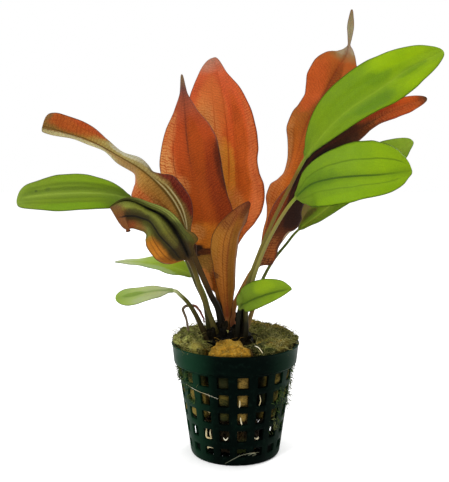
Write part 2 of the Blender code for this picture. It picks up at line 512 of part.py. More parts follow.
def wool_arc(name, finish, top, rings):
    """A block of wool that follows the pot from the first turn of its top to the last."""
    bm = ringed_tube(WOOL_SIDES, rings)
    for vert in bm.verts:
        turn = top[0][0] + (top[-1][0] - top[0][0]) * (vert.co.z + 0.5)
        side = round(math.atan2(vert.co.y, vert.co.x) * WOOL_SIDES / (2 * math.pi)) % WOOL_SIDES
        place, height = wool_section(turn, top)[side]
        vert.co = Vector((place.x, place.y, height)) * MM
    add_piece(name, bm, finish)


def turned_lump(name, finish, centre, radii, profile, sides):
    """A turned lump: profile holds rows of (share of the radii, height)."""
    bm = ringed_tube(sides, len(profile))
    for vert in bm.verts:
        share, height = profile[round((vert.co.z + 0.5) * (len(profile) - 1))]
        vert.co = Vector((centre[0] + vert.co.x * radii[0] * share, centre[1] + vert.co.y * radii[1] * share,
                          height)) * MM
    add_piece(name, bm, finish)


def make_crown():
    rise = CROWN_TOP - CROWN_BOTTOM
    profile = [(0.45, CROWN_BOTTOM), (0.72, CROWN_BOTTOM + 0.15 * rise), (0.9, CROWN_BOTTOM + 0.45 * rise),
               (1.0, CROWN_BOTTOM + 0.75 * rise), (0.95, CROWN_TOP - 0.8), (0.86, CROWN_TOP)]
    turned_lump("crown", "crown", CROWN_CENTRE, CROWN_RADII, profile, CROWN_SIDES)


def make_root_ball():
    """A ball of roots under the wool, with a neck of them up the hole to the crown."""
    rise = WOOL_BOTTOM - GAP - ROOT_BALL_BOTTOM
    profile = [(share, ROOT_BALL_BOTTOM + rise * up)
               for share, up in ((0.35, 0), (0.75, 0.14), (0.95, 0.43), (1.0, 0.73), (0.9, 0.93), (0.6, 1))]
    profile += [(0.6, 26), (0.5, CROWN_BOTTOM - GAP)]
    radii = (ROOT_BALL_RADIUS, ROOT_BALL_RADIUS)
    turned_lump("root_ball", "roots", ROOT_BALL_CENTRE, radii, profile, ROOT_BALL_SIDES)


def make_runner():
    """The old runner, a thin tube along its own line."""
    line = Line(RUNNER_LINE)
    bm = ringed_tube(RUNNER_SIDES, RUNNER_RINGS)
    for vert in bm.verts:
        here, forward = line.at(line.length * (vert.co.z + 0.5))
        right = Vector((0, 1, 0)).cross(forward).normalized()
        front = right.cross(forward)
        vert.co = (here + (right * vert.co.x + front * vert.co.y) * RUNNER_RADIUS) * MM
    add_piece("old_runner", bm, "runner")


clear_scene()
make_pot()
wool_arc("wool_wrap", "wool", WRAP_TOP, WRAP_RINGS)
wool_arc("wool_wedge", "wool_ochre", WEDGE_TOP, WEDGE_RINGS)
make_crown()
make_root_ball()
make_runner()
for leaf_name, leaf_shape in LEAVES.items():
    make_leaf(leaf_name, leaf_shape)
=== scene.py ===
import math
import random

import bmesh
import bpy
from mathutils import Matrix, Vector, noise


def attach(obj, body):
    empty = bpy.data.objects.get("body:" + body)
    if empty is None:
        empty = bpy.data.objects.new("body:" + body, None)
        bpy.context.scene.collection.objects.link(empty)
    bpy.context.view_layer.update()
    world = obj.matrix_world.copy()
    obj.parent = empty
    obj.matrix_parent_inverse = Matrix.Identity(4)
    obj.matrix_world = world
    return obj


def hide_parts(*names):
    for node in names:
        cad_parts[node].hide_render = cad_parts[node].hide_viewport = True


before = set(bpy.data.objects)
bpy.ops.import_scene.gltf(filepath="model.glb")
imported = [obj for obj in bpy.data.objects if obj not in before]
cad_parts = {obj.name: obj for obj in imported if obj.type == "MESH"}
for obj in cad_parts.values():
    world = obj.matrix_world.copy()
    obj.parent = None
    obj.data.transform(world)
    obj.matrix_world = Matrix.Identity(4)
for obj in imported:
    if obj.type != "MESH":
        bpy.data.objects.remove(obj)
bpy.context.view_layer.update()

# ------------------------------------------------------------------ studio
# The plant stands on a plain white floor in even white light, with a soft lamp high on the left
# and one behind on the right that shines through the leaves. The camera looks from the front.

MM = 0.001  # lengths below are millimetres, and are multiplied by this where a mesh is made
LIT = 1.3  # how bright a white card looks in this light
CAMERA_PLACE = (-0.0043, -0.3, 0.1185)  # metres
CAMERA_TILT = 83.5  # degrees, 90 being level
CAMERA_LENS = 57.66  # millimetres, with a sensor 36 wide
LAMPS_FACE = (0, 0, 0.09)  # metres: the middle of the plant

studio = bpy.context.scene
studio.view_settings.view_transform = "Standard"
camera = bpy.data.objects.new("camera", bpy.data.cameras.new("camera"))
camera.data.lens = CAMERA_LENS
camera.data.sensor_width = 36
camera.data.clip_start = 0.01
camera.location = CAMERA_PLACE
camera.rotation_euler = (math.radians(CAMERA_TILT), 0, 0)
studio.collection.objects.link(camera)
studio.camera = camera

studio.world = bpy.data.worlds.new("white_room")
studio.world.use_nodes = True
studio.world.node_tree.nodes["Background"].inputs["Color"].default_value = (1, 1, 1, 1)
overhead = bpy.data.objects.new("light_overhead", bpy.data.lights.new("light_overhead", "SUN"))
overhead.data.energy = 0.5
overhead.data.angle = math.radians(60)
studio.collection.objects.link(overhead)
for lamp_name, place, size, watts in (("lamp_high_left", (-0.45, -0.55, 0.65), 0.35, 5.0),
                                      ("lamp_behind", (0.45, 0.5, 0.45), 0.4, 4.0)):
    lamp = bpy.data.objects.new(lamp_name, bpy.data.lights.new(lamp_name, "AREA"))
    lamp.data.size = size
    lamp.data.energy = watts
    lamp.location = place
    lamp.rotation_euler = (Vector(LAMPS_FACE) - lamp.location).to_track_quat("-Z", "Y").to_euler()
    studio.collection.objects.link(lamp)


def seen(red, green, blue):
    """A colour as it looks on screen, 0 to 255, turned into the paint that looks so in this light."""
    paint = [((c / 255 + 0.055) / 1.055) ** 2.4 / LIT for c in (red, green, blue)]
    return (*paint, 1)


class Wire:
    """A socket of a material. Sums on it add Math nodes, and add() puts in any other node."""

    def __init__(self, tree, socket=None):
        self.tree = tree
        self.socket = socket

    def add(self, kind, settings, sockets):
        """Adds a node: its settings first, then a value or a link for each of its sockets."""
        node = self.tree.nodes.new("ShaderNode" + kind)
        for name, value in settings.items():
            if name != "stops":
                setattr(node, name, value)
        for number, (place, colour) in enumerate(settings.get("stops", [])):
            stops = node.color_ramp.elements
            stop = stops[number] if number < 2 else stops.new(place)
            stop.position = place
            stop.color = colour
        for name, value in sockets.items():
            if isinstance(value, Wire):
                self.tree.links.new(value.socket, node.inputs[name])
            else:
                node.inputs[name].default_value = value
        return Wire(self.tree, node.outputs[0])

    def __getitem__(self, name):
        """Another output of the same node."""
        return Wire(self.tree, self.socket.node.outputs[name])

    def sum_of(self, operation, *values):
        return self.add("Math", {"operation": operation}, dict(enumerate(values)))

    def __add__(self, other):
        return self.sum_of("ADD", self, other)

    def __radd__(self, other):
        return self.sum_of("ADD", other, self)

    def __sub__(self, other):
        return self.sum_of("SUBTRACT", self, other)

    def __rsub__(self, other):
        return self.sum_of("SUBTRACT", other, self)

    def __mul__(self, other):
        return self.sum_of("MULTIPLY", self, other)

    def __rmul__(self, other):
        return self.sum_of("MULTIPLY", other, self)

    def __truediv__(self, other):
        return self.sum_of("DIVIDE", self, other)

    def __abs__(self):
        return self.sum_of("ABSOLUTE", self)


def ramp(value, low, high):
    """0 where the value is at low and 1 where it is at high, smooth between."""
    return value.add("MapRange", {"interpolation_type": "SMOOTHSTEP"},
                     {"Value": value, "From Min": low, "From Max": high})


def larger(one, other):
    return one.sum_of("MAXIMUM", one, other)


def tint(mask, under, over, kind="MIX"):
    """The colour over laid on the colour under where the mask is 1."""
    return mask.add("Mix", {"data_type": "RGBA", "blend_type": kind}, {0: mask, 6: under, 7: over})[2]


def grain(where, scale, detail=3.0, distortion=0.0):
    """Cloudy noise from 0 to 1, scale being how many clouds there are to one unit."""
    return where.add("TexNoise", {}, {"Vector": where, "Scale": scale, "Detail": detail,
                                      "Distortion": distortion})


def relief(height, depth, strength=1.0):
    """A surface normal that shows the height, which is depth millimetres from 0 to 1."""
    return height.add("Bump", {}, {"Strength": strength, "Distance": depth * MM, "Height": height})


def new_finish(name, constants):
    """A material with one shader, and a wire to start its pattern from."""
    made = bpy.data.materials.new(name)
    made.use_nodes = True
    shader = made.node_tree.nodes["Principled BSDF"]
    for socket, value in constants.items():
        shader.inputs[socket].default_value = value
    return made, Wire(made.node_tree)


def feed(made, patterns):
    """Links patterns to the material's shader."""
    shader = made.node_tree.nodes["Principled BSDF"]
    for socket, wire in patterns.items():
        made.node_tree.links.new(wire.socket, shader.inputs[socket])


def object_place(start):
    return start.add("TexCoord", {}, {})["Object"]


SMOOTH_ALL = 180  # for a piece without a sharp edge


def put_in_scene(name, bm, finish, smooth_below=50):
    """Makes a bmesh an object with its faces outward and its place in its mesh."""
    if bm.calc_volume(signed=True) < 0:
        bmesh.ops.reverse_faces(bm, faces=bm.faces)
    mesh = bpy.data.meshes.new(name)
    bm.to_mesh(mesh)
    bm.free()
    mesh.shade_smooth()
    mesh.set_sharp_from_angle(angle=math.radians(smooth_below))
    mesh.materials.append(finish)
    piece = bpy.data.objects.new(name, mesh)
    studio.collection.objects.link(piece)
    return piece


floor_finish, floor_start = new_finish("floor_paper", {"Roughness": 0.9, "Specular IOR Level": 0.1})
paper = ramp(grain(object_place(floor_start), 400), 0.2, 0.8)
feed(floor_finish, {"Base Color": tint(paper, (0.93, 0.93, 0.93, 1), (0.95, 0.95, 0.95, 1))})
floor_sheet = bmesh.new()
bmesh.ops.create_grid(floor_sheet, x_segments=2, y_segments=2, size=2.0)
bmesh.ops.translate(floor_sheet, verts=floor_sheet.verts, vec=(0, 0, -0.05 * MM))
put_in_scene("floor", floor_sheet, floor_finish)

# ------------------------------------------------------------------ net pot
# One moulding of thin near-black green plastic: a tapered basket of upright bars and rings, with
# a deeper plain collar that stands out above it. The windows are square with soft corners.

POT_WALL = 1.0
POT_OUTSIDE = [(0.0, 17.7), (36.5, 22.8), (37.1, 24.3), (40.6, 24.7), (44.4, 25.0)]  # height, radius
POT_FOOT = [(16.9, 0.0), (17.5, 0.2), (17.8, 0.8)]  # radius, height, and so are the next two
POT_SHOULDER = [(23.0, 36.5), (23.9, 36.7)]
POT_COLLAR = [(24.3, 37.1), (24.7, 40.6), (25.0, 43.6), (25.3, 44.1), (25.1, 44.5)]
POT_COLUMNS = 18
COLUMN_FACES = 7  # faces side by side in one column
WINDOW_SHARE = 4 / COLUMN_FACES  # how much of a column is window, the rest being bar
WINDOW_CORNER = 0.5
POT_FIRST_WINDOW = math.radians(-90 + 7)
WINDOW_ROWS = [(3.6, 7.0), (9.8, 14.4), (16.8, 21.6), (24.0, 28.9), (31.3, 35.8)]
FLOOR_SLOT = (6.0, 13.0)
POT_PITCH = 2 * math.pi / POT_COLUMNS
POT_START = POT_FIRST_WINDOW - POT_PITCH * WINDOW_SHARE / 2


def at_rows(rows, place):
    """Straight-line values between rows of (place, values...)."""
    for low, high in zip(rows, rows[1:]):
        if place <= high[0]:
            t = (place - low[0]) / (high[0] - low[0])
            return [p + (q - p) * t for p, q in zip(low[1:], high[1:])]
    return list(rows[-1][1:])


def pot_outside(height):
    """Radius of the pot's outer face at a height, up to its rim."""
    return at_rows(POT_OUTSIDE, height)[0]


def window_phase(x, y):
    """How far round its column a point is: first the window, then the bar, 0 to 1."""
    return (math.atan2(y, x) - POT_START) / POT_PITCH % 1


profile = [(0.0, 0.0), (FLOOR_SLOT[0], 0.0), (FLOOR_SLOT[1], 0.0), *POT_FOOT]
profile += [(pot_outside(height), height) for height in (*sum(WINDOW_ROWS, ()), 36.3)]
profile += [*POT_SHOULDER, *POT_COLLAR]
pot_mesh = bmesh.new()
outline = [pot_mesh.verts.new((radius * MM * math.cos(POT_START), radius * MM * math.sin(POT_START),
                               height * MM)) for radius, height in profile]
edges = [pot_mesh.edges.new(pair) for pair in zip(outline, outline[1:])]
bmesh.ops.spin(pot_mesh, geom=outline + edges, cent=(0, 0, 0), axis=(0, 0, 1), angle=2 * math.pi,
               steps=COLUMN_FACES * POT_COLUMNS, use_merge=True)
bmesh.ops.remove_doubles(pot_mesh, verts=pot_mesh.verts, dist=0.01 * MM)
bmesh.ops.recalc_face_normals(pot_mesh, faces=pot_mesh.faces)
cut = []
for face in pot_mesh.faces:
    middle = face.calc_center_median() / MM
    radius = math.hypot(middle.x, middle.y)
    in_row = any(low < middle.z < high for low, high in WINDOW_ROWS)
    in_slot = middle.z < 0.01 and FLOOR_SLOT[0] < radius < FLOOR_SLOT[1]
    if window_phase(middle.x, middle.y) < WINDOW_SHARE and (in_row or in_slot):
        cut.append(face)
bmesh.ops.delete(pot_mesh, geom=cut, context="FACES")
corners = []
for vert in pot_mesh.verts:
    rims = [edge for edge in vert.link_edges if edge.is_boundary]
    if len(rims) == 2 and vert.co.z < POT_COLLAR[0][1] * MM:
        one, other = ((edge.other_vert(vert).co - vert.co).normalized() for edge in rims)
        if abs(one.dot(other)) < 0.5:
            corners.append(vert)
bmesh.ops.bevel(pot_mesh, geom=corners, offset=WINDOW_CORNER * MM, offset_type="OFFSET", affect="VERTICES",
                segments=3, profile=0.5, material=-1, clamp_overlap=True)

pot_finish, start = new_finish("pot_plastic", {"IOR": 1.1, "Specular IOR Level": 0.2,
                                               "Specular Tint": (0.3, 1, 0.8, 1)})
where = object_place(start)
sheen_across = where.add("SeparateXYZ", {}, {0: where})["X"]
stain = ramp(grain(where, 90, 4), 0.5, 0.72)
dust = ramp(grain(where, 700, 3), 0.5, 0.8)
colour = tint(stain, seen(1, 6, 4), seen(4, 15, 10))
# Painted sheen: both sides of the pot are painted a lighter teal-green, standing in for the light that the
# curved sides reflect.
colour = tint(ramp(sheen_across, -0.006, -0.022), colour, seen(18, 50, 32))
colour = tint(ramp(sheen_across, 0.010, 0.024) * 0.8, colour, seen(16, 42, 27))
colour = tint(dust * 0.2, colour, seen(24, 44, 34))
feed(pot_finish, {"Base Color": colour, "Roughness": 0.32 + 0.2 * stain + 0.15 * dust,
                  "Normal": relief(grain(where, 1500, 2), 0.03, 0.5)})
pot = put_in_scene("pot_basket", pot_mesh, pot_finish, 35)
wall = pot.modifiers.new("wall", "SOLIDIFY")
wall.thickness = POT_WALL * MM
wall.offset = -1
wall.use_even_offset = True
soft_edges = pot.modifiers.new("soft_edges", "BEVEL")
soft_edges.width = 0.22 * MM
soft_edges.segments = 2
soft_edges.limit_method = "ANGLE"
soft_edges.angle_limit = math.radians(50)
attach(pot, "root")
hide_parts("net_pot")

# ------------------------------------------------------------------ roots
# A ball of living roots has grown out of the wool into the lower half of the pot: a dense dark
# core round which finer brown roots wander as far as the wall, with some young pale ones.

ROOT_CENTRE = Vector((-1.5, 0.0, 0.0))
ROOT_CORE_RADII = (9.6, 9.6)
BROWN_THREADS = 150
PALE_THREADS = 10


def ringed_tube(sides, rings):
    """A closed tube of rings along z from -0.5 to 0.5, radius 1, ready to be bent."""
    bm = bmesh.new()
    bmesh.ops.create_cone(bm, cap_ends=True, segments=sides, radius1=1, radius2=1, depth=1)
    upright = [edge for edge in bm.edges if abs(edge.verts[0].co.z - edge.verts[1].co.z) > 0.5]
    bmesh.ops.subdivide_edges(bm, edges=upright, cuts=rings - 2, use_grid_fill=True)
    return bm


def lump(centre, radii, rows, sides, rings, rough, scale):
    """A turned lump through rows of (height, share of the radii), with an uneven surface."""
    bm = ringed_tube(sides, rings)
    low, high = rows[0][0], rows[-1][0]
    for vert in bm.verts:
        height = low + (high - low) * (vert.co.z + 0.5)
        share = at_rows(rows, height)[0]
        outward = Vector((vert.co.x, vert.co.y, 0))
        spot = Vector((vert.co.x * radii[0] * share, vert.co.y * radii[1] * share, height))
        spot += Vector((centre[0], centre[1], 0))
        spot += outward * rough * noise.fractal(spot * scale, 1.0, 2.0, 4) * min(1, share * 2)
        vert.co = spot * MM
    return bm


def strands(paths, thickness, sides):
    """One bmesh of thin tubes, each bent along its own path of points, thinner at both ends."""
    rings = len(paths[0])
    tube = ringed_tube(sides, rings)
    pattern = bpy.data.meshes.new("strand")
    tube.to_mesh(pattern)
    spots = [(round((vert.co.z + 0.5) * (rings - 1)), vert.co.x, vert.co.y) for vert in tube.verts]
    tube.free()
    bm = bmesh.new()
    for _ in paths:
        bm.from_mesh(pattern)
    bpy.data.meshes.remove(pattern)
    verts = iter(bm.verts)
    for path, width in zip(paths, thickness):
        frames = []
        for k, here in enumerate(path):
            forward = (path[min(k + 1, rings - 1)] - path[max(k - 1, 0)]).normalized()
            right = forward.orthogonal().normalized() if not frames else (
                frames[-1][1] - forward * frames[-1][1].dot(forward)).normalized()
            thin = width / 2 * (0.35 + 0.65 * math.sin(math.pi * (0.1 + 0.8 * k / (rings - 1))))
            frames.append((here, right, forward.cross(right), thin))
        for ring, x, y in spots:
            here, right, front, thin = frames[ring]
            next(verts).co = (here + (right * x + front * y) * thin) * MM
    return bm


def wander(chance, begin, heading, step, count, inside, pull=Vector((0, 0, 0)), turning=0.55):
    """A path that winds on from a point, kept where inside(point) says it may be."""
    path = [begin.copy()]
    heading = heading.normalized()
    for _ in range(count - 1):
        swerve = Vector([chance.gauss(0, 1) for _ in range(3)]) * turning
        heading = (heading + swerve * 0.5 + pull).normalized()
        path.append(inside(path[-1] + heading * step))
    for _ in range(2):
        between = [(a + 2 * b + c) / 4 for a, b, c in zip(path, path[1:], path[2:])]
        path = [path[0], *between, path[-1]]
    return path


def in_pot(spot):
    """The nearest place inside the basket, under the wool's top."""
    height = min(max(spot.z, 1.9), 40)
    limit = at_rows([(0, 9), (10, 9.5), (15, 17), (40, 22)], height)[0]
    radius = math.hypot(spot.x, spot.y)
    shrink = min(1, limit / radius) if radius > 0 else 1
    return Vector((spot.x * shrink, spot.y * shrink, height))


root_finish, start = new_finish("root_brown", {"Specular IOR Level": 0.25})
where = object_place(start)
tone = ramp(grain(where, 160, 3), 0.35, 0.7)
colour = tint(tone, seen(40, 32, 20), seen(92, 72, 38))
colour = tint(ramp(grain(where, 60, 2), 0.55, 0.7), colour, seen(70, 84, 34))
feed(root_finish, {"Base Color": colour, "Roughness": 0.75 + 0.2 * tone,
                   "Normal": relief(grain(where, 3000, 2), 0.05)})
core_rows = [(1.5, 0.25), (3, 0.5), (7, 0.62), (12, 0.7), (15, 0.68), (17, 0.62), (26, 0.58), (33.4, 0.5)]
core_mesh = lump(ROOT_CENTRE, ROOT_CORE_RADII, core_rows, 64, 80, 2.2, 0.35)
root_core = put_in_scene("root_core", core_mesh, root_finish)
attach(root_core, "root")
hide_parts("root_ball")

chance = random.Random(4)
paths = []
for _ in range(BROWN_THREADS):
    turn = chance.uniform(-math.pi, math.pi)
    radius = 4 + 11 * chance.random() ** 0.7
    begin = Vector((radius * math.cos(turn), radius * math.sin(turn), chance.uniform(11, 19)))
    round_pot = Vector((-math.sin(turn), math.cos(turn), 0)) * chance.choice((-0.7, 0.7))
    heading = Vector((math.cos(turn), math.sin(turn), -1.2)) + round_pot
    paths.append(wander(chance, begin, heading, 1.0, 36, in_pot, Vector((0, 0, -0.05))))
root_threads = put_in_scene("root_threads", strands(paths, [chance.uniform(0.35, 0.8) for _ in paths], 5),
                            root_finish)
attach(root_threads, "root")

pale_finish, start = new_finish("root_pale", {"Specular IOR Level": 0.3})
where = object_place(start)
tone = ramp(grain(where, 220, 3), 0.35, 0.65)
low = ramp(where.add("SeparateXYZ", {}, {0: where})["Z"], 0.0058, 0.0050)
colour = tint(tone, seen(222, 216, 190), seen(190, 172, 124))
feed(pale_finish, {"Base Color": tint(low * 0.95, colour, seen(74, 80, 60)),
                   "Roughness": 0.5 + 0.2 * tone, "Normal": relief(grain(where, 2500, 2), 0.04)})
paths = []
for _ in range(PALE_THREADS):
    turn = chance.uniform(-math.pi, math.pi)
    height = chance.uniform(14, 30)
    radius = pot_outside(height) - 2
    begin = Vector((radius * math.cos(turn), radius * math.sin(turn), height))
    heading = Vector((-math.sin(turn) * 0.6, math.cos(turn) * 0.6, -1))
    outward = Vector((math.cos(turn), math.sin(turn), -0.6)) * 0.12
    paths.append(wander(chance, begin, heading, 0.8, 30, in_pot, outward))
pale_threads = put_in_scene("pale_threads", strands(paths, [chance.uniform(0.3, 0.55) for _ in paths], 6),
                            pale_finish)
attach(pale_threads, "root")

# ------------------------------------------------------------------ rock wool
# The plug of spun mineral wool the plant was started in: olive and ochre fibre, felted, with
# algae on top. A ring of it is wrapped round the crown and a loose ochre wedge closes it in front.

WRAP_TOP = [(-61, 22.5, 45.0, 45.8), (-40, 23.4, 45.4, 46.2), (0, 24.2, 46.0, 46.8),
            (30, 24.2, 46.4, 47.6), (60, 24.0, 46.6, 48.4), (100, 23.6, 46.0, 47.2),
            (140, 24.0, 46.0, 47.0), (175, 24.4, 46.2, 47.6), (200, 24.4, 46.6, 48.2),
            (220, 23.8, 46.2, 48.0), (234, 22.8, 45.4, 46.2)]
WEDGE_TOP = [(-117, 22.4, 45.0, 45.4), (-108, 22.6, 45.0, 47.2), (-93, 22.8, 45.0, 48.4),
             (-83, 22.6, 45.0, 47.6), (-73, 22.4, 44.9, 45.2)]
WOOL_BOTTOM = 17.0
WOOL_STEPS = 6  # points between two corners of the wool's outline
CROWN_CENTRE = Vector((-2.7, -0.5, 0))
CROWN_RADII = (10.0, 7.0)


def wool_outline(turn, top):
    """The corners of the wool's section at a turn: up the wall, over the rim and down the hole."""
    lip, edge, crest = at_rows(top, turn)
    angle = math.radians(turn)
    outward = Vector((math.cos(angle), math.sin(angle), 0))
    hole = CROWN_CENTRE + Vector(((CROWN_RADII[0] + 0.5) * outward.x, (CROWN_RADII[1] + 0.5) * outward.y, 0))

    def point(flat, height):
        return Vector((flat.x, flat.y, height))

    def against_wall(height, inset=0.0):
        return point(outward * (pot_outside(height) - POT_WALL - 0.5 - inset), height)

    return [point(hole * 0.9, WOOL_BOTTOM), against_wall(WOOL_BOTTOM), against_wall(27.5),
            against_wall(36.1), against_wall(41.5, 0.8), point(outward * (pot_outside(43) - 1.7), 44.8),
            point(outward * lip, edge), point(outward * (lip - 1.8), (edge + crest) / 2 + 0.6),
            point((hole + outward * lip) / 2 + outward, crest), point(hole * 1.04, crest - 2),
            point(hole, crest - 4.5), point(hole, 33.0)]


def bulge(spot):
    """How far the wool swells out through a window of the pot at this place."""
    row = max((math.sin(math.pi * (spot.z - low) / (high - low))
               for low, high in WINDOW_ROWS if low < spot.z < high), default=0)
    phase = window_phase(spot.x, spot.y)
    column = math.sin(math.pi * phase / WINDOW_SHARE) if phase < WINDOW_SHARE else 0
    return 1.5 * math.sqrt(max(0, row * column)) if row * column > 0 else 0


def wool_block(top, rings):
    """A block of wool from the first turn of its top to the last, felted and uneven."""
    corners = 12
    sides = corners * WOOL_STEPS
    bm = ringed_tube(sides, rings)
    sections = {}
    for vert in bm.verts:
        ring = round((vert.co.z + 0.5) * (rings - 1))
        if ring not in sections:
            turn = top[0][0] + (top[-1][0] - top[0][0]) * ring / (rings - 1)
            outline = wool_outline(turn, top)
            points = [outline[k].lerp(outline[(k + 1) % corners], step / WOOL_STEPS)
                      for k in range(corners) for step in range(WOOL_STEPS)]
            for _ in range(3):
                points = [(points[k - 1] + 2 * points[k] + points[(k + 1) % sides]) / 4 for k in range(sides)]
            end = min(ring, rings - 1 - ring) / 6
            if end < 1:
                middle = sum(points, Vector()) / sides
                keep = 0.72 + 0.28 * math.sqrt(1 - (1 - end) ** 2)
                points = [middle.lerp(point, keep) for point in points]
            sections[ring] = points
        side = round(math.atan2(vert.co.y, vert.co.x) * sides / (2 * math.pi)) % sides
        vert.co = sections[ring][side]
    if bm.calc_volume(signed=True) < 0:
        bmesh.ops.reverse_faces(bm, faces=bm.faces)
    bm.normal_update()
    moves = []
    for vert in bm.verts:
        spot = vert.co
        above = min(max((spot.z - 43) / 3, 0), 1)
        rough = noise.fractal(spot * 0.28, 1.0, 2.0, 4) * (0.35 + 0.9 * above)
        rough += noise.ridged_multi_fractal(spot * 0.7, 1.0, 2.0, 3, 1.0, 2.0) * 0.14 * above
        outward = Vector((spot.x, spot.y, 0)).normalized()
        wall_side = max(0, vert.normal.dot(outward))
        limit = 0.35 if spot.z < 44 and wall_side > 0.5 else 1.6
        moves.append(vert.normal * min(rough, limit) + outward * bulge(spot) * wall_side)
    for vert, move in zip(bm.verts, moves):
        vert.co = (vert.co + move) * MM
    return bm


def from_ray(place, turn):
    """How far a point is from the upright sheet that stands on the pot's axis and faces this turn."""
    angle = math.radians(turn)
    return abs(place["X"] * math.sin(angle) - place["Y"] * math.cos(angle))


def oval(x, y, centre, reach):
    """0 at the centre of an oval patch and 1 at its edge, from the two wires that say where a point is."""
    gap_x = (x - centre[0]) / reach[0]
    gap_y = (y - centre[1]) / reach[1]
    return gap_x * gap_x + gap_y * gap_y


def wool_finish(name, ochre):
    """Felted fibre: ochre says how much of it is clean, the rest being dull or green with algae."""
    made, start = new_finish(name, {"Roughness": 0.95, "Specular IOR Level": 0.05})
    where = object_place(start)
    place = where.add("SeparateXYZ", {}, {0: where})
    clouds = grain(where, 130, 4, 0.6)
    specks = grain(where, 900, 4, 1.5)
    threads = grain(where.add("Mapping", {}, {"Vector": where, "Scale": (1, 1, 2.6)}), 420, 5, 2.5)
    colour = tint(ramp(clouds, 0.6 - ochre, 0.85 - ochre), seen(96, 92, 38), seen(168, 124, 38))
    colour = tint(ramp(grain(where, 75, 3, 0.4), 0.5, 0.64) * (1 - 2 * ochre), colour, seen(128, 138, 62))
    colour = tint(ramp(threads, 0.56, 0.36) * (0.95 - ochre), colour, seen(28, 28, 10))
    if ochre < 0.3:
        left = ramp(place["X"], -0.011, -0.015) * ramp(clouds, 0.4, 0.6)
        colour = tint(left * ramp(threads, 0.42, 0.6) * 0.75, colour, seen(168, 172, 98))
        fold = oval(place["X"], place["Y"], (-0.0150, -0.0165), (0.0026, 0.0045)) + clouds
        colour = tint(ramp(fold, 1.5, 0.8) * 0.6, colour, seen(150, 138, 64))
        # Painted shade: a near-black hollow at the front left, in the gap beside the ochre wedge.
        shaded_hollow = oval(place["X"], place["Y"], (-0.0122, -0.0205), (0.0034, 0.0032))
        colour = tint(ramp(shaded_hollow, 1.3, 0.7) * 0.9, colour, seen(14, 22, 10))
        patch = oval(place["X"], place["Y"], (0.016, -0.012), (0.006, 0.006))
        right = ramp(patch + clouds * 1.2, 1.7, 1.0)
        # Darker olive towards the right: partly the wool's own duller colour, partly painted shade on the
        # side away from the lamp.
        colour = tint(ramp(place["X"], 0.004, 0.014) * 0.4, colour, seen(60, 62, 24))
        colour = tint(right * 0.4, colour, seen(110, 88, 32))
        # Painted shadow: two near-black hollows on the right, where the crown and the stalks shade the wool.
        for centre, reach, strength, dark in (
                ((0.0078, -0.0135), (0.0034, 0.0070), 0.85, seen(14, 20, 8)),
                ((0.0120, -0.0195), (0.0045, 0.0026), 0.75, seen(22, 32, 12))):
            shaded_hollow = oval(place["X"], place["Y"], centre, reach)
            colour = tint(ramp(shaded_hollow, 1.3, 0.6) * strength, colour, dark)
        shadow = ramp(grain(where, 210, 3, 0.8), 0.46, 0.36)
        colour = tint(shadow * 0.8, colour, seen(16, 20, 8))
    else:
        colour = tint(ramp(clouds, 0.5, 0.36) * 0.5, colour, seen(96, 66, 18))
        end = ramp(place["X"], -0.0075, -0.0105)
        colour = tint(end * 0.5, colour, seen(120, 104, 44))
    colour = tint(ramp(specks, 0.56, 0.72) * (0.8 - ochre), colour, seen(196, 186, 112))
    in_wall = ramp(place["Z"], 0.0385, 0.0365)
    # Below the rim the wool is painted darker, olive to ochre by clouds: partly its own mottled colour,
    # partly painted shade inside the basket.
    dull = tint(ramp(clouds, 0.4, 0.62), seen(24, 28, 12), seen(100, 84, 34))
    colour = tint(in_wall * 0.85, colour, dull)
    shade = ramp(threads + (clouds - 0.5) * 0.5, 0.56, 0.4)
    front = ramp(place["Y"], 0.0, -0.010)
    high = in_wall * ramp(place["Z"], 0.029, 0.032)
    low = in_wall * ramp(place["Z"], 0.033, 0.029)
    # Upright stripes behind the front windows: ochre wool at -83 degrees, darker olive at -103, and at -106 a
    # near-black stripe of painted shade inside the basket.
    for turn, part, far, near, strength, shown in (
            (-83, in_wall, 0.0045, 0.0028, 0.7, seen(124, 100, 48)),
            (-103, in_wall, 0.005, 0.003, 0.6, seen(52, 54, 22)),
            (-106, high, 0.0045, 0.003, 0.85, seen(12, 20, 9))):
        stripe = part * ramp(from_ray(place, turn), far, near) * front
        colour = tint(stripe * strength, colour, shown)
    colour = tint(in_wall * shade * 0.65, colour, seen(20, 26, 10))
    for turn, brown in ((-130, seen(122, 104, 48)), (-150, seen(132, 114, 56))):
        stripe = low * ramp(from_ray(place, turn), 0.0045, 0.003) * front
        colour = tint(stripe * 0.8, colour, brown)
    on_top = ramp(place["Z"], 0.0365, 0.0385)
    # Painted shade: near-black lines where the wrapped ring and the ochre wedge meet, in the gaps between
    # them.
    for turn, part in ((-65.5, in_wall), (-114, in_wall), (-71.5, on_top)):
        gap = ramp(from_ray(place, turn), 0.0028, 0.0016) * front * part
        colour = tint(gap * 0.85, colour, seen(12, 16, 8))
    feed(made, {"Base Color": colour, "Normal": relief(threads + specks * 0.6, 0.7 - ochre * 0.9, 0.9)})
    return made


wrap_finish = wool_finish("wool_olive", 0.1)
wedge_finish = wool_finish("wool_ochre", 0.4)
thread_finish, start = new_finish("wool_threads", {"Roughness": 0.8, "Specular IOR Level": 0.1})
where = object_place(start)
feed(thread_finish, {"Base Color": tint(ramp(grain(where, 160, 3), 0.4, 0.6), seen(84, 84, 38),
                                        seen(156, 150, 88))})


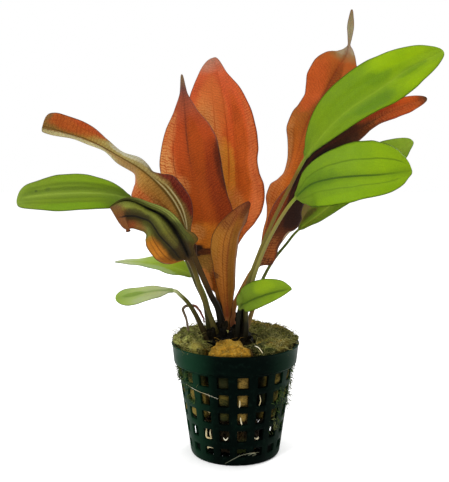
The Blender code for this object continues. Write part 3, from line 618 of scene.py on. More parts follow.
def fibres(chance, bm, count, reach, lift):
    """Paths of short curled fibres that start on the upper faces of a block of wool."""
    starts = [face for face in bm.faces if face.normal.z > 0.1 and face.calc_center_median().z > 43 * MM
              and (face.calc_center_median() / MM - CROWN_CENTRE).xy.length > 13]
    paths = []
    for face in chance.choices(starts, weights=[face.calc_area() for face in starts], k=count):
        begin = face.calc_center_median() / MM
        heading = face.normal * chance.uniform(0.1, lift) + Vector([chance.gauss(0, 0.6) for _ in range(3)])
        curl = Vector((chance.gauss(0, 0.2), chance.gauss(0, 0.2), -0.14))
        step = chance.uniform(*reach) / 6
        paths.append(wander(chance, begin, heading, step, 7, lambda spot: spot, curl, 0.5))
    return paths


chance = random.Random(11)
for name, node, top, rings, slot, made, count in (
        ("wool_ring", "wool_wrap", WRAP_TOP, 245, "wool", wrap_finish, 1700),
        ("wool_front", "wool_wedge", WEDGE_TOP, 60, "wool_ochre", wedge_finish, 90)):
    block = wool_block(top, rings)
    block.normal_update()
    threads = strands(fibres(chance, block, count, (1.5, 5.5), 0.35),
                      [chance.uniform(0.09, 0.17) for _ in range(count)], 3)
    wool = put_in_scene(name, block, made, SMOOTH_ALL)
    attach(wool, "root")
    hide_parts(node)
    fuzz = put_in_scene(name + "_fibres", threads, thread_finish if slot == "wool" else made, SMOOTH_ALL)
    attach(fuzz, "root")

# ------------------------------------------------------------------ crown
# The short rootstock that all the stalks grow from: living tissue, nearly black, its black partly
# painted shade at the foot of the stalks. It sits in the hole of the wool, with its top a little
# above the rim of the pot.

crown_finish, start = new_finish("crown_dark", {"Specular IOR Level": 0.04})
where = object_place(start)
tone = ramp(grain(where, 260, 4), 0.35, 0.7)
# Near-black: partly the tissue's own dark colour, partly painted shade at the foot of the stalks.
colour = tint(tone, seen(6, 6, 4), seen(24, 20, 11))
colour = tint(ramp(grain(where, 1100, 3), 0.64, 0.76) * 0.25, colour, seen(96, 88, 56))
feed(crown_finish, {"Base Color": colour, "Roughness": 0.6 + 0.3 * tone,
                    "Normal": relief(grain(where, 1800, 4), 0.2)})
crown_rows = [(34, 0.4), (36, 0.72), (40.4, 0.9), (44.6, 1.0), (47.2, 0.95), (49.0, 0.76), (50.0, 0.35)]
crown_mesh = lump(CROWN_CENTRE, (9.7, 6.7), crown_rows, 72, 60, 1.3, 0.5)
crown = put_in_scene("crown_stock", crown_mesh, crown_finish)
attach(crown, "root")
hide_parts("crown")

# ------------------------------------------------------------------ red leaves
# Six leaves the plant grew under strong light: thin rust-red blades, see-through enough to show
# their net of veins, each on a round stalk that sheathes the crown. One piece, stalk and blade.

LEAF_SIDES = 64


def smooth_rows(rows, place):
    """Values between rows of (place, values...), on a smooth curve that never overshoots them."""
    last = len(rows) - 1
    k = min(max(sum(row[0] <= place for row in rows) - 1, 0), last - 1)
    span = rows[k + 1][0] - rows[k][0]
    t = min(max((place - rows[k][0]) / span, 0), 1)
    found = []
    for column in range(1, len(rows[0])):
        def climb(number):
            low = min(max(number, 0), last - 1)
            return (rows[low + 1][column] - rows[low][column]) / (rows[low + 1][0] - rows[low][0])

        def slope(one, other):
            return 2 * one * other / (one + other) if one * other > 0 else 0

        begin, end = slope(climb(k - 1), climb(k)), slope(climb(k), climb(k + 1))
        found.append(rows[k][column] * (2 * t ** 3 - 3 * t * t + 1) + begin * span * (t ** 3 - 2 * t * t + t)
                     + rows[k + 1][column] * (3 * t * t - 2 * t ** 3) + end * span * (t ** 3 - t * t))
    return found


class Line:
    """A smooth curve through a few points, read by the distance along it."""

    STEPS = 24

    def __init__(self, points):
        self.samples = []
        last = len(points) - 1
        for number in range(last * self.STEPS + 1):
            i = min(number // self.STEPS, last - 1)
            t = number / self.STEPS - i
            a, b, c, d = (Vector(points[min(max(k, 0), last)]) for k in (i - 1, i, i + 1, i + 2))
            self.samples.append(0.5 * (2 * b + (c - a) * t + (2 * a - 5 * b + 4 * c - d) * t * t
                                       + (3 * b - a - 3 * c + d) * t ** 3))
        self.travel = [0.0]
        for before, after in zip(self.samples, self.samples[1:]):
            self.travel.append(self.travel[-1] + (after - before).length)
        self.length = self.travel[-1]

    def distance_to_point(self, number):
        return self.travel[number * self.STEPS]

    def at(self, distance):
        """Position and direction at a distance from the start."""
        distance = min(max(distance, 0), self.length)
        k = 0
        while k < len(self.travel) - 2 and self.travel[k + 1] < distance:
            k += 1
        t = (distance - self.travel[k]) / (self.travel[k + 1] - self.travel[k])
        before = self.samples[max(k - 2, 0)]
        after = self.samples[min(k + 3, len(self.samples) - 1)]
        return self.samples[k].lerp(self.samples[k + 1], t), (after - before).normalized()


def half_blade(width, fold, curl, share):
    """Distance across and out for a point at this share of a half blade that is folded and curled."""
    first = math.radians(fold - curl / 2)
    turned = math.radians(curl) * share
    if abs(turned) < 1e-6:
        return width * share * math.cos(first), width * share * math.sin(first)
    reach = width * share / turned
    return (reach * (math.sin(first + turned) - math.sin(first)),
            reach * (math.cos(first) - math.cos(first + turned)))


def leaf_mesh(leaf, seed):
    """A stalk that widens into a blade: each ring of a tube becomes one section of the leaf."""
    foot = Vector(leaf["line"][0])
    buried = foot.lerp(Vector((CROWN_CENTRE.x, CROWN_CENTRE.y, foot.z)), 0.22) - Vector((0, 0, 4.0))
    line = Line([buried] + leaf["line"])
    stalk = line.distance_to_point(leaf["blade_from"] + 1)
    blade = line.length - stalk
    stalk_rings = max(8, round(stalk))
    blade_rings = max(70, round(blade / 0.5))
    rings = stalk_rings + blade_rings
    thick, thin = leaf["stalk"]
    stalk_rows = [(0, thick * 1.7), (0.12, thick * 1.35), (0.3, thick), (1, thin)]
    turned = [(math.acos(1 - 2 * row[0]) / math.pi, *row[1:]) for row in leaf["blade"]]
    roll_rows = [(step / (len(leaf["roll"]) - 1), roll) for step, roll in enumerate(leaf["roll"])]
    left_curl, right_curl = leaf.get("curl", (0, 0))
    wave, wavelength = leaf.get("wave", (0.5, 13))

    sections = []
    for ring in range(rings):
        step = max(ring - stalk_rings, 0) / (blade_rings - 1)
        round_step = 0.5 - 0.5 * math.cos(math.pi * step)
        along = 0.4 * step + 0.6 * round_step
        up = min(ring / stalk_rings, 1)
        distance = stalk * up + blade * along
        here, forward = line.at(distance)
        across = Vector((0, 1, 0)).cross(forward).normalized()
        front = across.cross(forward)
        roll = math.radians(smooth_rows(roll_rows, distance / line.length)[0])
        right = across * math.cos(roll) - front * math.sin(roll)
        front = front * math.cos(roll) + across * math.sin(roll)
        shape = smooth_rows(turned, math.acos(1 - 2 * along) / math.pi)
        flat = min(along / 0.035, 1)
        sections.append((along, up, distance - stalk, here, right, front, shape,
                         flat * flat * (3 - 2 * flat), at_rows(stalk_rows, up)[0]))

    bm = ringed_tube(LEAF_SIDES, rings)
    place = bm.verts.layers.float_vector.new("place")
    extent = bm.verts.layers.float_vector.new("extent")
    for vert in bm.verts:
        turn = math.atan2(vert.co.y, vert.co.x)
        ring = round((vert.co.z + 0.5) * (rings - 1))
        along, up, mm, here, right, front, shape, flat, radius = sections[ring]
        position = 1 - 2 * abs(turn) / math.pi
        share = abs(position) ** 1.5
        side = math.copysign(1, turn)
        if position > 0:
            width = shape[1]
            over, out = half_blade(width, shape[3], right_curl, share)
        else:
            width = shape[0]
            over, out = half_blade(width, shape[2], left_curl, share)
            over = -over
        signed = math.copysign(share, position)
        middle = math.sin(math.pi * min(max(along, 0), 1)) ** 0.5
        out += wave * share * share * middle * math.sin(
            2 * math.pi * mm / wavelength + (1.9 if position > 0 else 0) + seed)
        out += 0.5 * middle * share * noise.noise(Vector((signed * 1.4, mm / 9, seed * 3.7)))
        out += 0.045 * width * math.sin(math.pi * share) * middle
        for crease, depth, reach in leaf.get("creases", ()):
            out -= depth * middle * math.exp(-((signed - crease) * width / reach) ** 2)
        from_rib = share * width / max(0.35, 0.95 - 0.7 * along)
        ridge = max(0, 1 - from_rib ** 2) ** 2 * (1 - 0.7 * along)
        half = 0.2 * (1 - share ** 8) + 0.02
        out += side * half + (-0.5 * ridge if side < 0 else -0.1 * ridge)
        section = Vector((over, out)) * flat + Vector((math.cos(turn), math.sin(turn))) * radius * (1 - flat)
        vert.co = (here + right * section.x + front * section.y) * MM
        vert[place] = (signed, along if along > 0 else up - 1, side)
        vert[extent] = (signed * (width if flat > 0 else radius), mm, width if flat > 0 else radius)
    return bm


def leaf_finish(name, look):
    """Living leaf: colour from crown to tip, patches, ladder of veins, a darker rim that is partly painted
    shade, light through it.
    """
    made, start = new_finish(name, {"Specular IOR Level": look.get("gloss", 0.06)})
    place = start.add("Attribute", {"attribute_type": "GEOMETRY", "attribute_name": "place"}, {})["Vector"]
    extent = start.add("Attribute", {"attribute_type": "GEOMETRY", "attribute_name": "extent"}, {})["Vector"]
    parts = place.add("SeparateXYZ", {}, {0: place})
    across, along, side = parts["X"], parts["Y"], parts["Z"]
    parts = extent.add("SeparateXYZ", {}, {0: extent})
    far, travel, reach = parts["X"], parts["Y"], parts["Z"]
    share = abs(across)
    blade = ramp(along, 0.0, 0.03)
    cloud = grain(extent, 0.11, 4)
    mottle = grain(extent, 0.55, 4)
    drift = (cloud - 0.5) * 0.16

    # veins: long ones that keep their share of the blade, cross rungs between them, a fine net
    long = start.add("Math", {"operation": "ADD"}, {0: 0.0, 1: 0.0})
    for at, half in look.get("long_veins", ((0.3, 0.26), (0.57, 0.24), (0.8, 0.18))):
        long = larger(long, ramp(abs(share + drift - at) * reach, half, half * 0.3))
    rung_gap = look.get("rung_gap", 1.15)
    rungs = (travel - abs(far) * look.get("slant", 0.45) + mottle * 2.4 + cloud * 2.0) / rung_gap
    rungs = abs(rungs.sum_of("FRACT", rungs) - 0.5) * rung_gap
    rungs = ramp(rungs, 0.27, 0.05) * ramp(mottle, 0.25, 0.5)
    net = extent.add("TexVoronoi", {"feature": "DISTANCE_TO_EDGE"}, {"Vector": extent, "Scale": 1.35})
    net = ramp(net["Distance"], 0.12, 0.02)
    long = long * (0.35 + 0.65 * ramp(mottle, 0.4, 0.62))
    veins = larger(larger(long * 0.8, rungs * look.get("rungs", 0.85)), net * 0.7) * blade
    vein_end = look.get("vein_until", 1.2)
    veins = veins * ramp(along, vein_end, vein_end - 0.06)

    stops = [((t + 1) / 2, seen(*colour)) for t, colour in look["along"]]
    colour = along.add("ValToRGB", {"stops": stops}, {0: (along + 1) / 2 + drift * 0.3})
    for s, t, wide, tall, over, strength in look.get("patches", ()):
        away = oval(across, along, (s, t), (wide, tall)) + (mottle - 0.5) * 0.7
        colour = tint(ramp(away, 1.15, 0.35) * strength, colour, seen(*over))
    light_tone, dark_tone = look.get("tones", ((1.25, 1.2, 1.1, 1), (0.72, 0.68, 0.62, 1)))
    colour = tint(ramp(cloud, 0.5, 0.75) * 0.6, colour, light_tone, "MULTIPLY")
    colour = tint(ramp(cloud, 0.5, 0.25) * 0.6, colour, dark_tone, "MULTIPLY")
    colour = tint(ramp(mottle, 0.45, 0.8) * 0.35, colour, light_tone, "MULTIPLY")
    for s, t, wide, tall, strength in look.get("lace", ()):
        near = ramp(oval(across, along, (s, t), (wide, tall)), 1.2, 0.3)
        colour = tint(near * (1 - larger(long, rungs)) * strength, colour, seen(*look["lace_colour"]))
    colour = tint(veins * look["vein_strength"], colour, look["vein"], "MULTIPLY")
    bend = ramp(along, 0.15, 0.4)
    for low, high, begin, end, half, over, strength in look.get("stripes", ()):
        line = ramp(abs(across + drift * 0.5 - low - (high - low) * bend) * reach, half, half * 0.2)
        line = line * ramp(along, begin - 0.05, begin + 0.05) * ramp(along, end + 0.05, end - 0.05)
        colour = tint(line * strength, colour, seen(*over))
    rib_colour = seen(*look["rib"])
    here = blade * ramp(along, *look.get("rib_fade", (0.0, 0.05)))
    colour = tint(ramp(abs(far), 2.4, 0.3) * here * look.get("rib_shade", 0.25), colour, rib_colour)
    rib = ramp(abs(far), 0.5, 0.22) * here * ramp(along, 1.05, 0.6)
    colour = tint(rib * look.get("rib_strength", 0.8), colour, rib_colour)
    # A darker rim along the margin, partly painted shade of the edge.
    edge = ramp((1 - share) * reach, 0.42, 0.12) * blade
    colour = tint(edge * 0.7, colour, seen(*look["edge"]))
    colour = tint(ramp(side, 0.0, -0.5) * 0.3 * blade, colour, seen(*look["back"]))

    height = veins * side * -0.6 + mottle * 0.3 + rungs * side * -0.2
    feed(made, {"Base Color": colour, "Roughness": 0.4 + 0.25 * mottle - 0.06 * veins,
                "Normal": relief(height, look.get("depth", 0.12), 0.8)})
    nodes = made.node_tree.nodes
    shader = Wire(made.node_tree, nodes["Principled BSDF"].outputs[0])
    glow = start.add("BsdfTranslucent", {}, {"Color": look["glow"]})
    thin = ramp(colour.add("RGBToBW", {}, {0: colour}), 0.012, 0.1)
    both = start.add("MixShader", {}, {0: look.get("light", 0.4) * blade * thin * (1 - 0.6 * veins),
                                       1: shader, 2: glow})
    made.node_tree.links.new(both.socket, nodes["Material Output"].inputs["Surface"])
    return made


def grow(node, leaf, look, seed):
    """Makes one leaf with its own finish, in place of its CAD node."""
    leaf_piece = put_in_scene(node.replace("leaf_", "blade_"), leaf_mesh(leaf, seed),
                              leaf_finish(node, look), SMOOTH_ALL)
    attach(leaf_piece, "root")
    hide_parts(node)


STALK_START = 49.1  # height at which the stalks leave the crown

# A leaf is its shape and its look. Shape: points of the midline, rows of (share of the blade, left
# and right width, left and right fold), the roll along it and its waves. Look: colours are on-screen
# red, green and blue; along is from the crown at -1 over the start of the blade at 0 to the tip at 1;
# patches are (across, along, their reach both ways, colour, strength); stripes run from one share of
# the half blade to another, between two places along it.
# BLACK at the foot of a stalk is partly painted shade where the stalks crowd at the crown.
BLACK = (16, 13, 8)
PLUM = (66, 28, 20)
BROWN = (118, 70, 26)
GREY_GREEN = (138, 138, 104)
PEACH = (240, 176, 100)
red_look = {"vein": (0.46, 0.35, 0.28, 1), "vein_strength": 0.8, "rib": (112, 40, 20),
            "edge": (92, 76, 66), "back": (190, 110, 66), "glow": (0.62, 0.15, 0.025, 1),
            "lace_colour": PEACH, "light": 0.45}

red_leaves = {
    "leaf_tall_back": ({
        "line": [(-4, 4.5, STALK_START), (-5, 5, 58), (-6, 6, 64), (-6.5, 9, 71.5), (-6, 11, 79.5),
                 (-3.5, 14, 93.5), (-2.5, 18, 113.5), (-4, 21, 134), (-6.5, 22.5, 148.5),
                 (-8.5, 23, 157.5)],
        "blade_from": 2,
        "stalk": (1.1, 0.8),
        "blade": [(0, 0.9, 0.9, 0, 0), (0.05, 5.8, 3.4, 5, 5), (0.1, 9.2, 4.6, 8, 8),
                  (0.15, 10.8, 5.8, 8, 10), (0.2, 11.3, 7, 10, 12), (0.25, 11.9, 8.8, 10, 12),
                  (0.3, 12.3, 12.1, 10, 8), (0.35, 12.7, 14.5, 9, 5), (0.4, 13.3, 15.1, 8, 4),
                  (0.45, 14.1, 14.7, 8, 7), (0.5, 14.8, 12.8, 8, 10), (0.55, 15.4, 12, 8, 10),
                  (0.6, 15.8, 12.6, 8, 10), (0.65, 16.1, 12.5, 9, 10), (0.7, 16, 11.9, 10, 10),
                  (0.75, 15.6, 11.2, 11, 10), (0.8, 14.8, 9.7, 12, 10), (0.85, 13.6, 7.9, 12, 10),
                  (0.9, 10.8, 5.2, 12, 10), (0.93, 8.9, 3.6, 11, 10), (0.96, 6.8, 2.6, 10, 10),
                  (0.98, 4.9, 1.9, 10, 10), (1, 0.2, 0.2, 10, 10)],
        "roll": [0, -4, -6, 0, 4],
        "wave": (0.6, 17),
    }, {
        "along": [(-1, BLACK), (-0.1, BROWN), (0.05, (128, 92, 34)), (0.2, (220, 134, 32)),
                  (0.34, (226, 136, 40)), (0.45, (222, 118, 38)), (0.75, (222, 102, 48)),
                  (0.94, (220, 112, 68)), (1, (190, 150, 128))],
        "patches": [(0.9, 0.38, 0.34, 0.16, (240, 126, 66), 0.9),
                    (0.85, 0.62, 0.2, 0.24, (206, 90, 46), 0.7),
                    (0.42, 0.58, 0.26, 0.3, (186, 92, 26), 0.7),
                    (0.05, 0.31, 0.5, 0.12, (236, 156, 48), 0.8),
                    (-0.7, 0.1, 0.6, 0.08, (104, 92, 32), 0.8),
                    (-0.62, 0.62, 0.3, 0.22, (230, 146, 64), 0.6),
                    # Painted light: the next patch brightens the blade where the long pointed leaf casts its
                    # shadow on it.
                    (-0.12, 0.5, 0.4, 0.16, (255, 186, 66), 0.9),
                    (-0.35, 0.78, 0.5, 0.16, (232, 148, 72), 0.5),
                    (-1.0, 0.16, 0.4, 0.04, (50, 28, 10), 0.95)],
        "lace": [(-0.6, 0.6, 0.5, 0.26, 0.8), (0.12, 0.33, 0.4, 0.12, 0.6), (0.85, 0.5, 0.2, 0.4, 0.3)],
        "rib": (166, 68, 26), "rib_strength": 0.5, "rib_shade": 0.1, "rib_fade": (0.35, 0.55),
        "stripes": [(0.22, 0.22, 0.4, 0.85, 0.4, (170, 72, 26), 0.5),
                    (-0.3, -0.3, 0.4, 0.8, 0.35, (176, 78, 30), 0.5)],
    }),
    "leaf_long_pointed": ({
        "line": [(-4.8, 1, STALK_START), (-5.6, 1, 56), (-7.2, 1.2, 63), (-8.6, 1.5, 71),
                 (-10.3, 1.4, 80), (-12, 1, 88), (-14, 0, 100.5), (-17.5, 0, 114.5), (-19, 1, 125.5),
                 (-20, 4, 139), (-21, 7, 149)],
        "blade_from": 2,
        "stalk": (1.1, 0.8),
        "blade": [(0, 0.9, 0.9, 0, 0), (0.05, 3.2, 2.5, -4, -4), (0.1, 4.8, 4, -8, -8),
                  (0.15, 5.2, 6, -10, -10), (0.2, 5.4, 7.5, -12, -12), (0.236, 4.8, 9, -12, -12),
                  (0.277, 5.5, 11.5, -14, -14), (0.357, 8, 12.6, -16, -16),
                  (0.437, 10.6, 11.6, -16, -18), (0.518, 13, 12, -16, -18),
                  (0.598, 12.9, 12.6, -16, -18), (0.679, 10.9, 12.4, -16, -18),
                  (0.759, 8.2, 10.3, -14, -18), (0.839, 4.2, 4.9, -10, -16), (0.92, 1.4, 1.4, 0, 0),
                  (1, 0.2, 0.2, 0, 0)],
        "roll": [0, 0, 0, 0, 0],
        "wave": (0.4, 15),
    }, {
        "along": [(-1, BLACK), (-0.2, (34, 24, 12)), (0.04, (150, 96, 30)), (0.17, (96, 80, 34)),
                  (0.23, (206, 110, 34)), (0.35, (200, 98, 32)), (0.5, (180, 86, 28)),
                  (0.74, (204, 90, 38)), (0.86, (176, 94, 64)), (0.93, (118, 84, 76)), (1, GREY_GREEN)],
        # The first two patches are painted shade: the right half, turned from the light, and a dark shadow
        # along its right margin where it overlaps the tall leaf behind.
        "patches": [(0.8, 0.46, 0.5, 0.26, (136, 50, 20), 0.75),
                    (1.04, 0.57, 0.3, 0.16, (62, 22, 10), 0.7),
                    (-0.75, 0.6, 0.45, 0.16, (214, 100, 44), 0.85),
                    (0.25, 0.66, 0.3, 0.16, (178, 86, 24), 0.6),
                    (-0.3, 0.262, 1.1, 0.08, (250, 156, 50), 0.8),
                    (-0.2, 0.15, 1.3, 0.055, (160, 128, 54), 0.95),
                    # These three thin dark patches are a painted shadow under the curled lower margin of the
                    # blade.
                    (-1.0, 0.212, 0.8, 0.036, (44, 24, 10), 1.0),
                    (-0.3, 0.2, 0.6, 0.018, (84, 42, 16), 0.95),
                    (0.25, 0.192, 0.6, 0.014, (100, 52, 20), 0.9),
                    (-0.8, 0.072, 0.55, 0.06, (255, 168, 84), 0.9),
                    (0.4, 0.08, 0.7, 0.06, (140, 76, 24), 0.8)],
        "lace": [(-0.95, 0.6, 0.5, 0.1, 0.95), (-0.6, 0.51, 0.45, 0.06, 0.6),
                 (-0.5, 0.29, 0.6, 0.04, 0.6), (0, 0.13, 1.1, 0.05, 0.2), (-0.8, 0.74, 0.35, 0.1, 0.5)],
        "rib": (84, 40, 22), "rib_fade": (0.5, 0.75),
        "stripes": [(-0.53, -0.53, 0.45, 0.72, 0.35, (120, 50, 20), 0.7)],
    }),
    "leaf_young_folded": ({
        "line": [(-2.9, -3, STALK_START), (-3.1, -3.3, 53.5), (-3.2, -4.3, 58.5), (-3.3, -6, 66),
                 (-3.3, -9, 77.5), (-2, -12, 87.5), (1, -14, 95.5), (5, -13, 100.5)],
        "blade_from": 1,
        "stalk": (1.1, 1.0),
        "blade": [(0, 1.1, 1.1, 0, 0), (0.1, 2.2, 2.1, -20, -20), (0.15, 3, 2.7, -25, -28),
                  (0.2, 3.6, 3.3, -28, -34), (0.264, 4.6, 4.4, -30, -40), (0.356, 5.4, 4.9, -30, -42),
                  (0.448, 6.2, 5.1, -30, -42), (0.54, 7.4, 5.4, -30, -42), (0.632, 7.6, 5.2, -30, -42),
                  (0.724, 6.4, 4.6, -30, -38), (0.816, 4.5, 4.6, -28, -30), (0.908, 2.5, 3.6, -25, -25),
                  (0.963, 1.4, 2, -20, -20), (1, 0.2, 0.2, 0, 0)],
        "roll": [0, 0, 5, 5, 0],
        "wave": (0.2, 12),
    }, {
        "along": [(-1, (30, 20, 12)), (-0.2, (80, 52, 22)), (0.06, (112, 68, 26)),
                  (0.18, (150, 98, 30)), (0.35, (178, 122, 36)), (0.62, (186, 124, 38)),
                  (0.84, (176, 108, 40)), (1, PLUM)],
        # The first patch is a painted highlight: a pale rim along the right margin.
        "patches": [(1.0, 0.5, 0.3, 0.4, (206, 170, 140), 0.7),
                    (0.9, 0.86, 0.3, 0.1, (150, 110, 84), 0.7),
                    (-0.6, 0.84, 0.6, 0.14, (120, 58, 20), 0.8),
                    (-0.7, 0.3, 0.4, 0.25, (160, 88, 34), 0.6),
                    (-1.0, 0.36, 0.5, 0.03, (60, 32, 16), 0.8),
                    (0.1, 0.72, 0.3, 0.14, (200, 140, 50), 0.6),
                    (0.35, 0.92, 0.35, 0.08, (80, 46, 28), 0.5),
                    (-0.3, 0.45, 0.3, 0.3, (190, 112, 30), 0.6),
                    (0.6, 0.5, 0.3, 0.3, (184, 122, 40), 0.6)],
        "lace": [(-0.4, 0.6, 0.6, 0.4, 0.15)],
        "vein_strength": 0.8, "rung_gap": 1.1, "glow": (0.32, 0.14, 0.02, 1), "edge": (50, 32, 16),
        "rib_strength": 0.5,
        "stripes": [(-0.3, -0.3, -0.3, 0.8, 0.4, (104, 56, 22), 0.6),
                    (0.4, 0.4, 0, 0.8, 0.4, (110, 70, 24), 0.6)],
    }),
    "leaf_twisted_left": ({
        "line": [(-5.1, -1.9, STALK_START), (-6.8, -2.3, 57.6), (-9.8, -2.8, 63.8), (-13.3, -3.3, 72),
                 (-16.9, -6, 81.4), (-18, -7, 85.5), (-22.5, -12, 98.5), (-31.5, -17, 110),
                 (-42.5, -15, 117), (-54.5, -10, 123), (-65.5, -9, 126.5), (-72, -10, 128.5)],
        "blade_from": 5,
        "stalk": (1.2, 1.1),
        "blade": [(0, 0.9, 0.9, 0, 0), (0.05, 2.6, 2.2, 0, -20), (0.1, 4.6, 4.6, 0, -25),
                  (0.2, 8, 7.4, 0, -30), (0.3, 9.6, 7.6, 0, -35), (0.35, 9.9, 7, 0, -62),
                  (0.4, 10.4, 6.2, -10, -74), (0.44, 8.6, 6, -35, -66), (0.5, 6.2, 5.6, -60, -55),
                  (0.6, 5.5, 5, -57, -68), (0.7, 4.7, 4.6, -72, -46), (0.78, 4.6, 5.6, -66, -10),
                  (0.85, 4.6, 6.4, -70, 10), (0.93, 4.6, 6.6, -60, 10), (0.98, 3.4, 5.6, -45, 10),
                  (1, 1, 2, 0, 0)],
        "roll": [0, 0, 0, 0, 0],
        "curl": (0, -30),
        "wave": (0.3, 11),
    }, {
        "along": [(-1, BLACK), (-0.6, (24, 20, 12)), (-0.4, (72, 52, 26)), (-0.04, (70, 54, 26)),
                  (0.06, (132, 118, 62)), (0.3, (176, 156, 84)), (0.5, (206, 196, 124)),
                  (0.66, (196, 184, 106)), (0.8, (188, 150, 66)), (1, (150, 120, 60))],
        # The first patch is partly painted shade: the dark red of the upper half where it curls away from the
        # light.
        "patches": [(0.95, 0.24, 0.66, 0.18, (110, 36, 16), 1.0),
                    (-1.0, 0.3, 0.75, 0.24, (236, 112, 52), 1.0),
                    (-0.3, 0.34, 0.34, 0.26, (206, 150, 66), 0.8),
                    (-0.5, 0.2, 0.2, 0.14, (116, 72, 26), 0.7),
                    (0.75, 0.86, 0.75, 0.16, (196, 100, 40), 1.0),
                    (0.95, 0.78, 0.4, 0.1, (204, 92, 44), 0.8),
                    # Painted shadow: the drooping striped leaf shades this lower lobe.
                    (-0.9, 0.1, 0.7, 0.07, (104, 62, 22), 0.9),
                    (1.0, 0.42, 0.6, 0.05, (110, 112, 72), 0.8),
                    (0.8, 0.55, 0.5, 0.14, (232, 236, 206), 0.9),
                    (-0.5, 0.56, 0.5, 0.16, (206, 168, 96), 0.8),
                    (-0.7, 0.82, 0.6, 0.25, (230, 230, 166), 0.95),
                    (0.9, 1.0, 0.5, 0.04, (130, 112, 66), 0.8)],
        "lace": [(-0.8, 0.3, 0.4, 0.25, 0.4)],
        "stripes": [(0.1, 0.1, 0, 0.36, 0.4, (236, 222, 160), 0.8),
                    (0, 0, -0.1, 0.98, 0.6, (92, 72, 16), 0.9),
                    (0.2, 0.2, 0, 0.36, 0.35, (70, 56, 24), 0.9),
                    (0.3, 0.3, 0, 0.3, 0.4, (220, 208, 150), 0.8),
                    (0.42, 0.42, 0, 0.24, 0.3, (96, 84, 40), 0.7),
                    (0.7, 0.7, 0.46, 0.66, 0.25, (120, 130, 96), 0.7)],
        "rib": (96, 72, 24), "rung_gap": 1.35, "slant": 0.1, "vein_strength": 1.0,
        "vein": (0.42, 0.32, 0.22, 1), "glow": (0.42, 0.16, 0.04, 1),
    }),
    "leaf_tall_wavy": ({
        "line": [(-1.5, 2, STALK_START), (-0.8, 2, 57), (1.6, 2, 62.6), (5.4, 2.4, 70), (9.2, 4, 76),
                 (12.5, 6, 84), (16, 9, 94), (20.5, 12, 105), (25, 15, 118), (29.5, 18, 131),
                 (35.5, 20, 141), (41, 20, 151.5), (45, 19, 158), (46, 17, 164.5), (46.3, 15, 175.2)],
        "blade_from": 4,
        "stalk": (1.2, 0.8),
        "blade": [(0, 0.9, 0.9, 0, 0), (0.04, 1.2, 2.9, 0, 0), (0.08, 2.1, 4.1, 0, 5),
                  (0.12, 2.8, 5.2, -20, 8), (0.16, 3.4, 6.1, -35, 8), (0.2, 4.6, 6.7, -25, 8),
                  (0.24, 6.3, 7.1, 0, 8), (0.28, 6.5, 7.5, -10, 8), (0.32, 6, 8, -45, 8),
                  (0.36, 5.8, 8.4, -62, 8), (0.4, 6, 8.7, -60, 8), (0.44, 6.3, 8.9, -50, 8),
                  (0.48, 6.9, 9.3, -37, 8), (0.52, 7.6, 10, -15, 8), (0.56, 7.6, 10.3, -15, 8),
                  (0.6, 7.9, 10.3, -34, 8), (0.64, 8, 10.2, -35, 8), (0.68, 8.9, 10, -22, 8),
                  (0.72, 10.1, 9.8, -5, 8), (0.76, 10, 9.4, 0, 10), (0.8, 8, 8.3, 0, 10),
                  (0.835, 5, 4.4, 10, 15), (0.86, 1.8, 2, 10, 15), (0.875, 0.55, 0.6, 5, 5),
                  (0.9, 0.9, 0.9, 0, 0), (0.94, 1.5, 1.3, 0, 0), (0.98, 0.9, 0.8, 0, 0),
                  (1, 0.2, 0.2, 0, 0)],
        "roll": [0, 0, -5, 0, 0],
        "wave": (0.3, 12),
    }, {
        "along": [(-1, (150, 84, 66)), (-0.6, (168, 112, 56)), (-0.2, (150, 112, 56)),
                  (0.05, (150, 92, 34)), (0.15, (208, 118, 42)), (0.25, (216, 116, 36)),
                  (0.42, (212, 114, 34)), (0.6, (166, 104, 38)), (0.72, (200, 112, 46)),
                  (0.81, (190, 104, 44)), (0.84, (160, 128, 76)), (0.865, (180, 186, 156)),
                  (0.93, (170, 190, 146)), (1, (138, 150, 110))],
        "patches": [(-0.8, 0.26, 0.5, 0.07, (200, 98, 32), 0.8),
                    (-0.6, 0.68, 0.6, 0.12, (220, 106, 46), 0.9),
                    (-0.7, 0.43, 0.35, 0.1, (146, 84, 22), 0.7),
                    (0.5, 0.4, 0.4, 0.22, (150, 76, 26), 0.5),
                    (0.15, 0.71, 0.25, 0.1, (126, 70, 22), 0.7),
                    (0.75, 0.7, 0.3, 0.1, (204, 88, 34), 0.8),
                    (-0.9, 0.3, 0.3, 0.3, (204, 128, 66), 0.4)],
        "lace": [(-0.8, 0.44, 0.3, 0.12, 0.35), (-0.5, 0.25, 0.5, 0.1, 0.25)],
        "glow": (0.44, 0.12, 0.02, 1), "rib_fade": (0.3, 0.6), "rib_strength": 0.4, "vein_until": 0.82,
    }),
    "leaf_red_right": ({
        "line": [(2.3, 0.2, STALK_START), (3.4, -0.2, 60), (6.3, -1, 68.4), (8.4, -1, 74),
                 (13.5, 0, 84.5), (19, 0, 95.5), (24, 0, 107), (29.5, -1, 117), (38, -2, 123),
                 (49.5, -2, 129), (61, 0, 135), (74, 3, 139.5)],
        "blade_from": 3,
        "stalk": (1.1, 0.8),
        "blade": [(0, 0.9, 0.9, 0, 0), (0.02, 0.9, 3.4, 0, -10), (0.035, 0.9, 5.2, 0, -10),
                  (0.07, 1.4, 5.4, 0, -10), (0.11, 2.6, 4.5, 0, -10), (0.15, 3.6, 4.9, 0, -10),
                  (0.18, 4.3, 5.5, 0, -10), (0.2, 4.9, 7, 0, -10), (0.225, 5.2, 7.8, 0, -10),
                  (0.245, 5.2, 7.7, 0, -10), (0.27, 4.9, 6.4, 0, -12), (0.3, 4.3, 6, 0, -12),
                  (0.35, 2.8, 6.4, 5, -12), (0.4, 2, 7.8, 10, -10), (0.5, 2.6, 8.6, 5, -10),
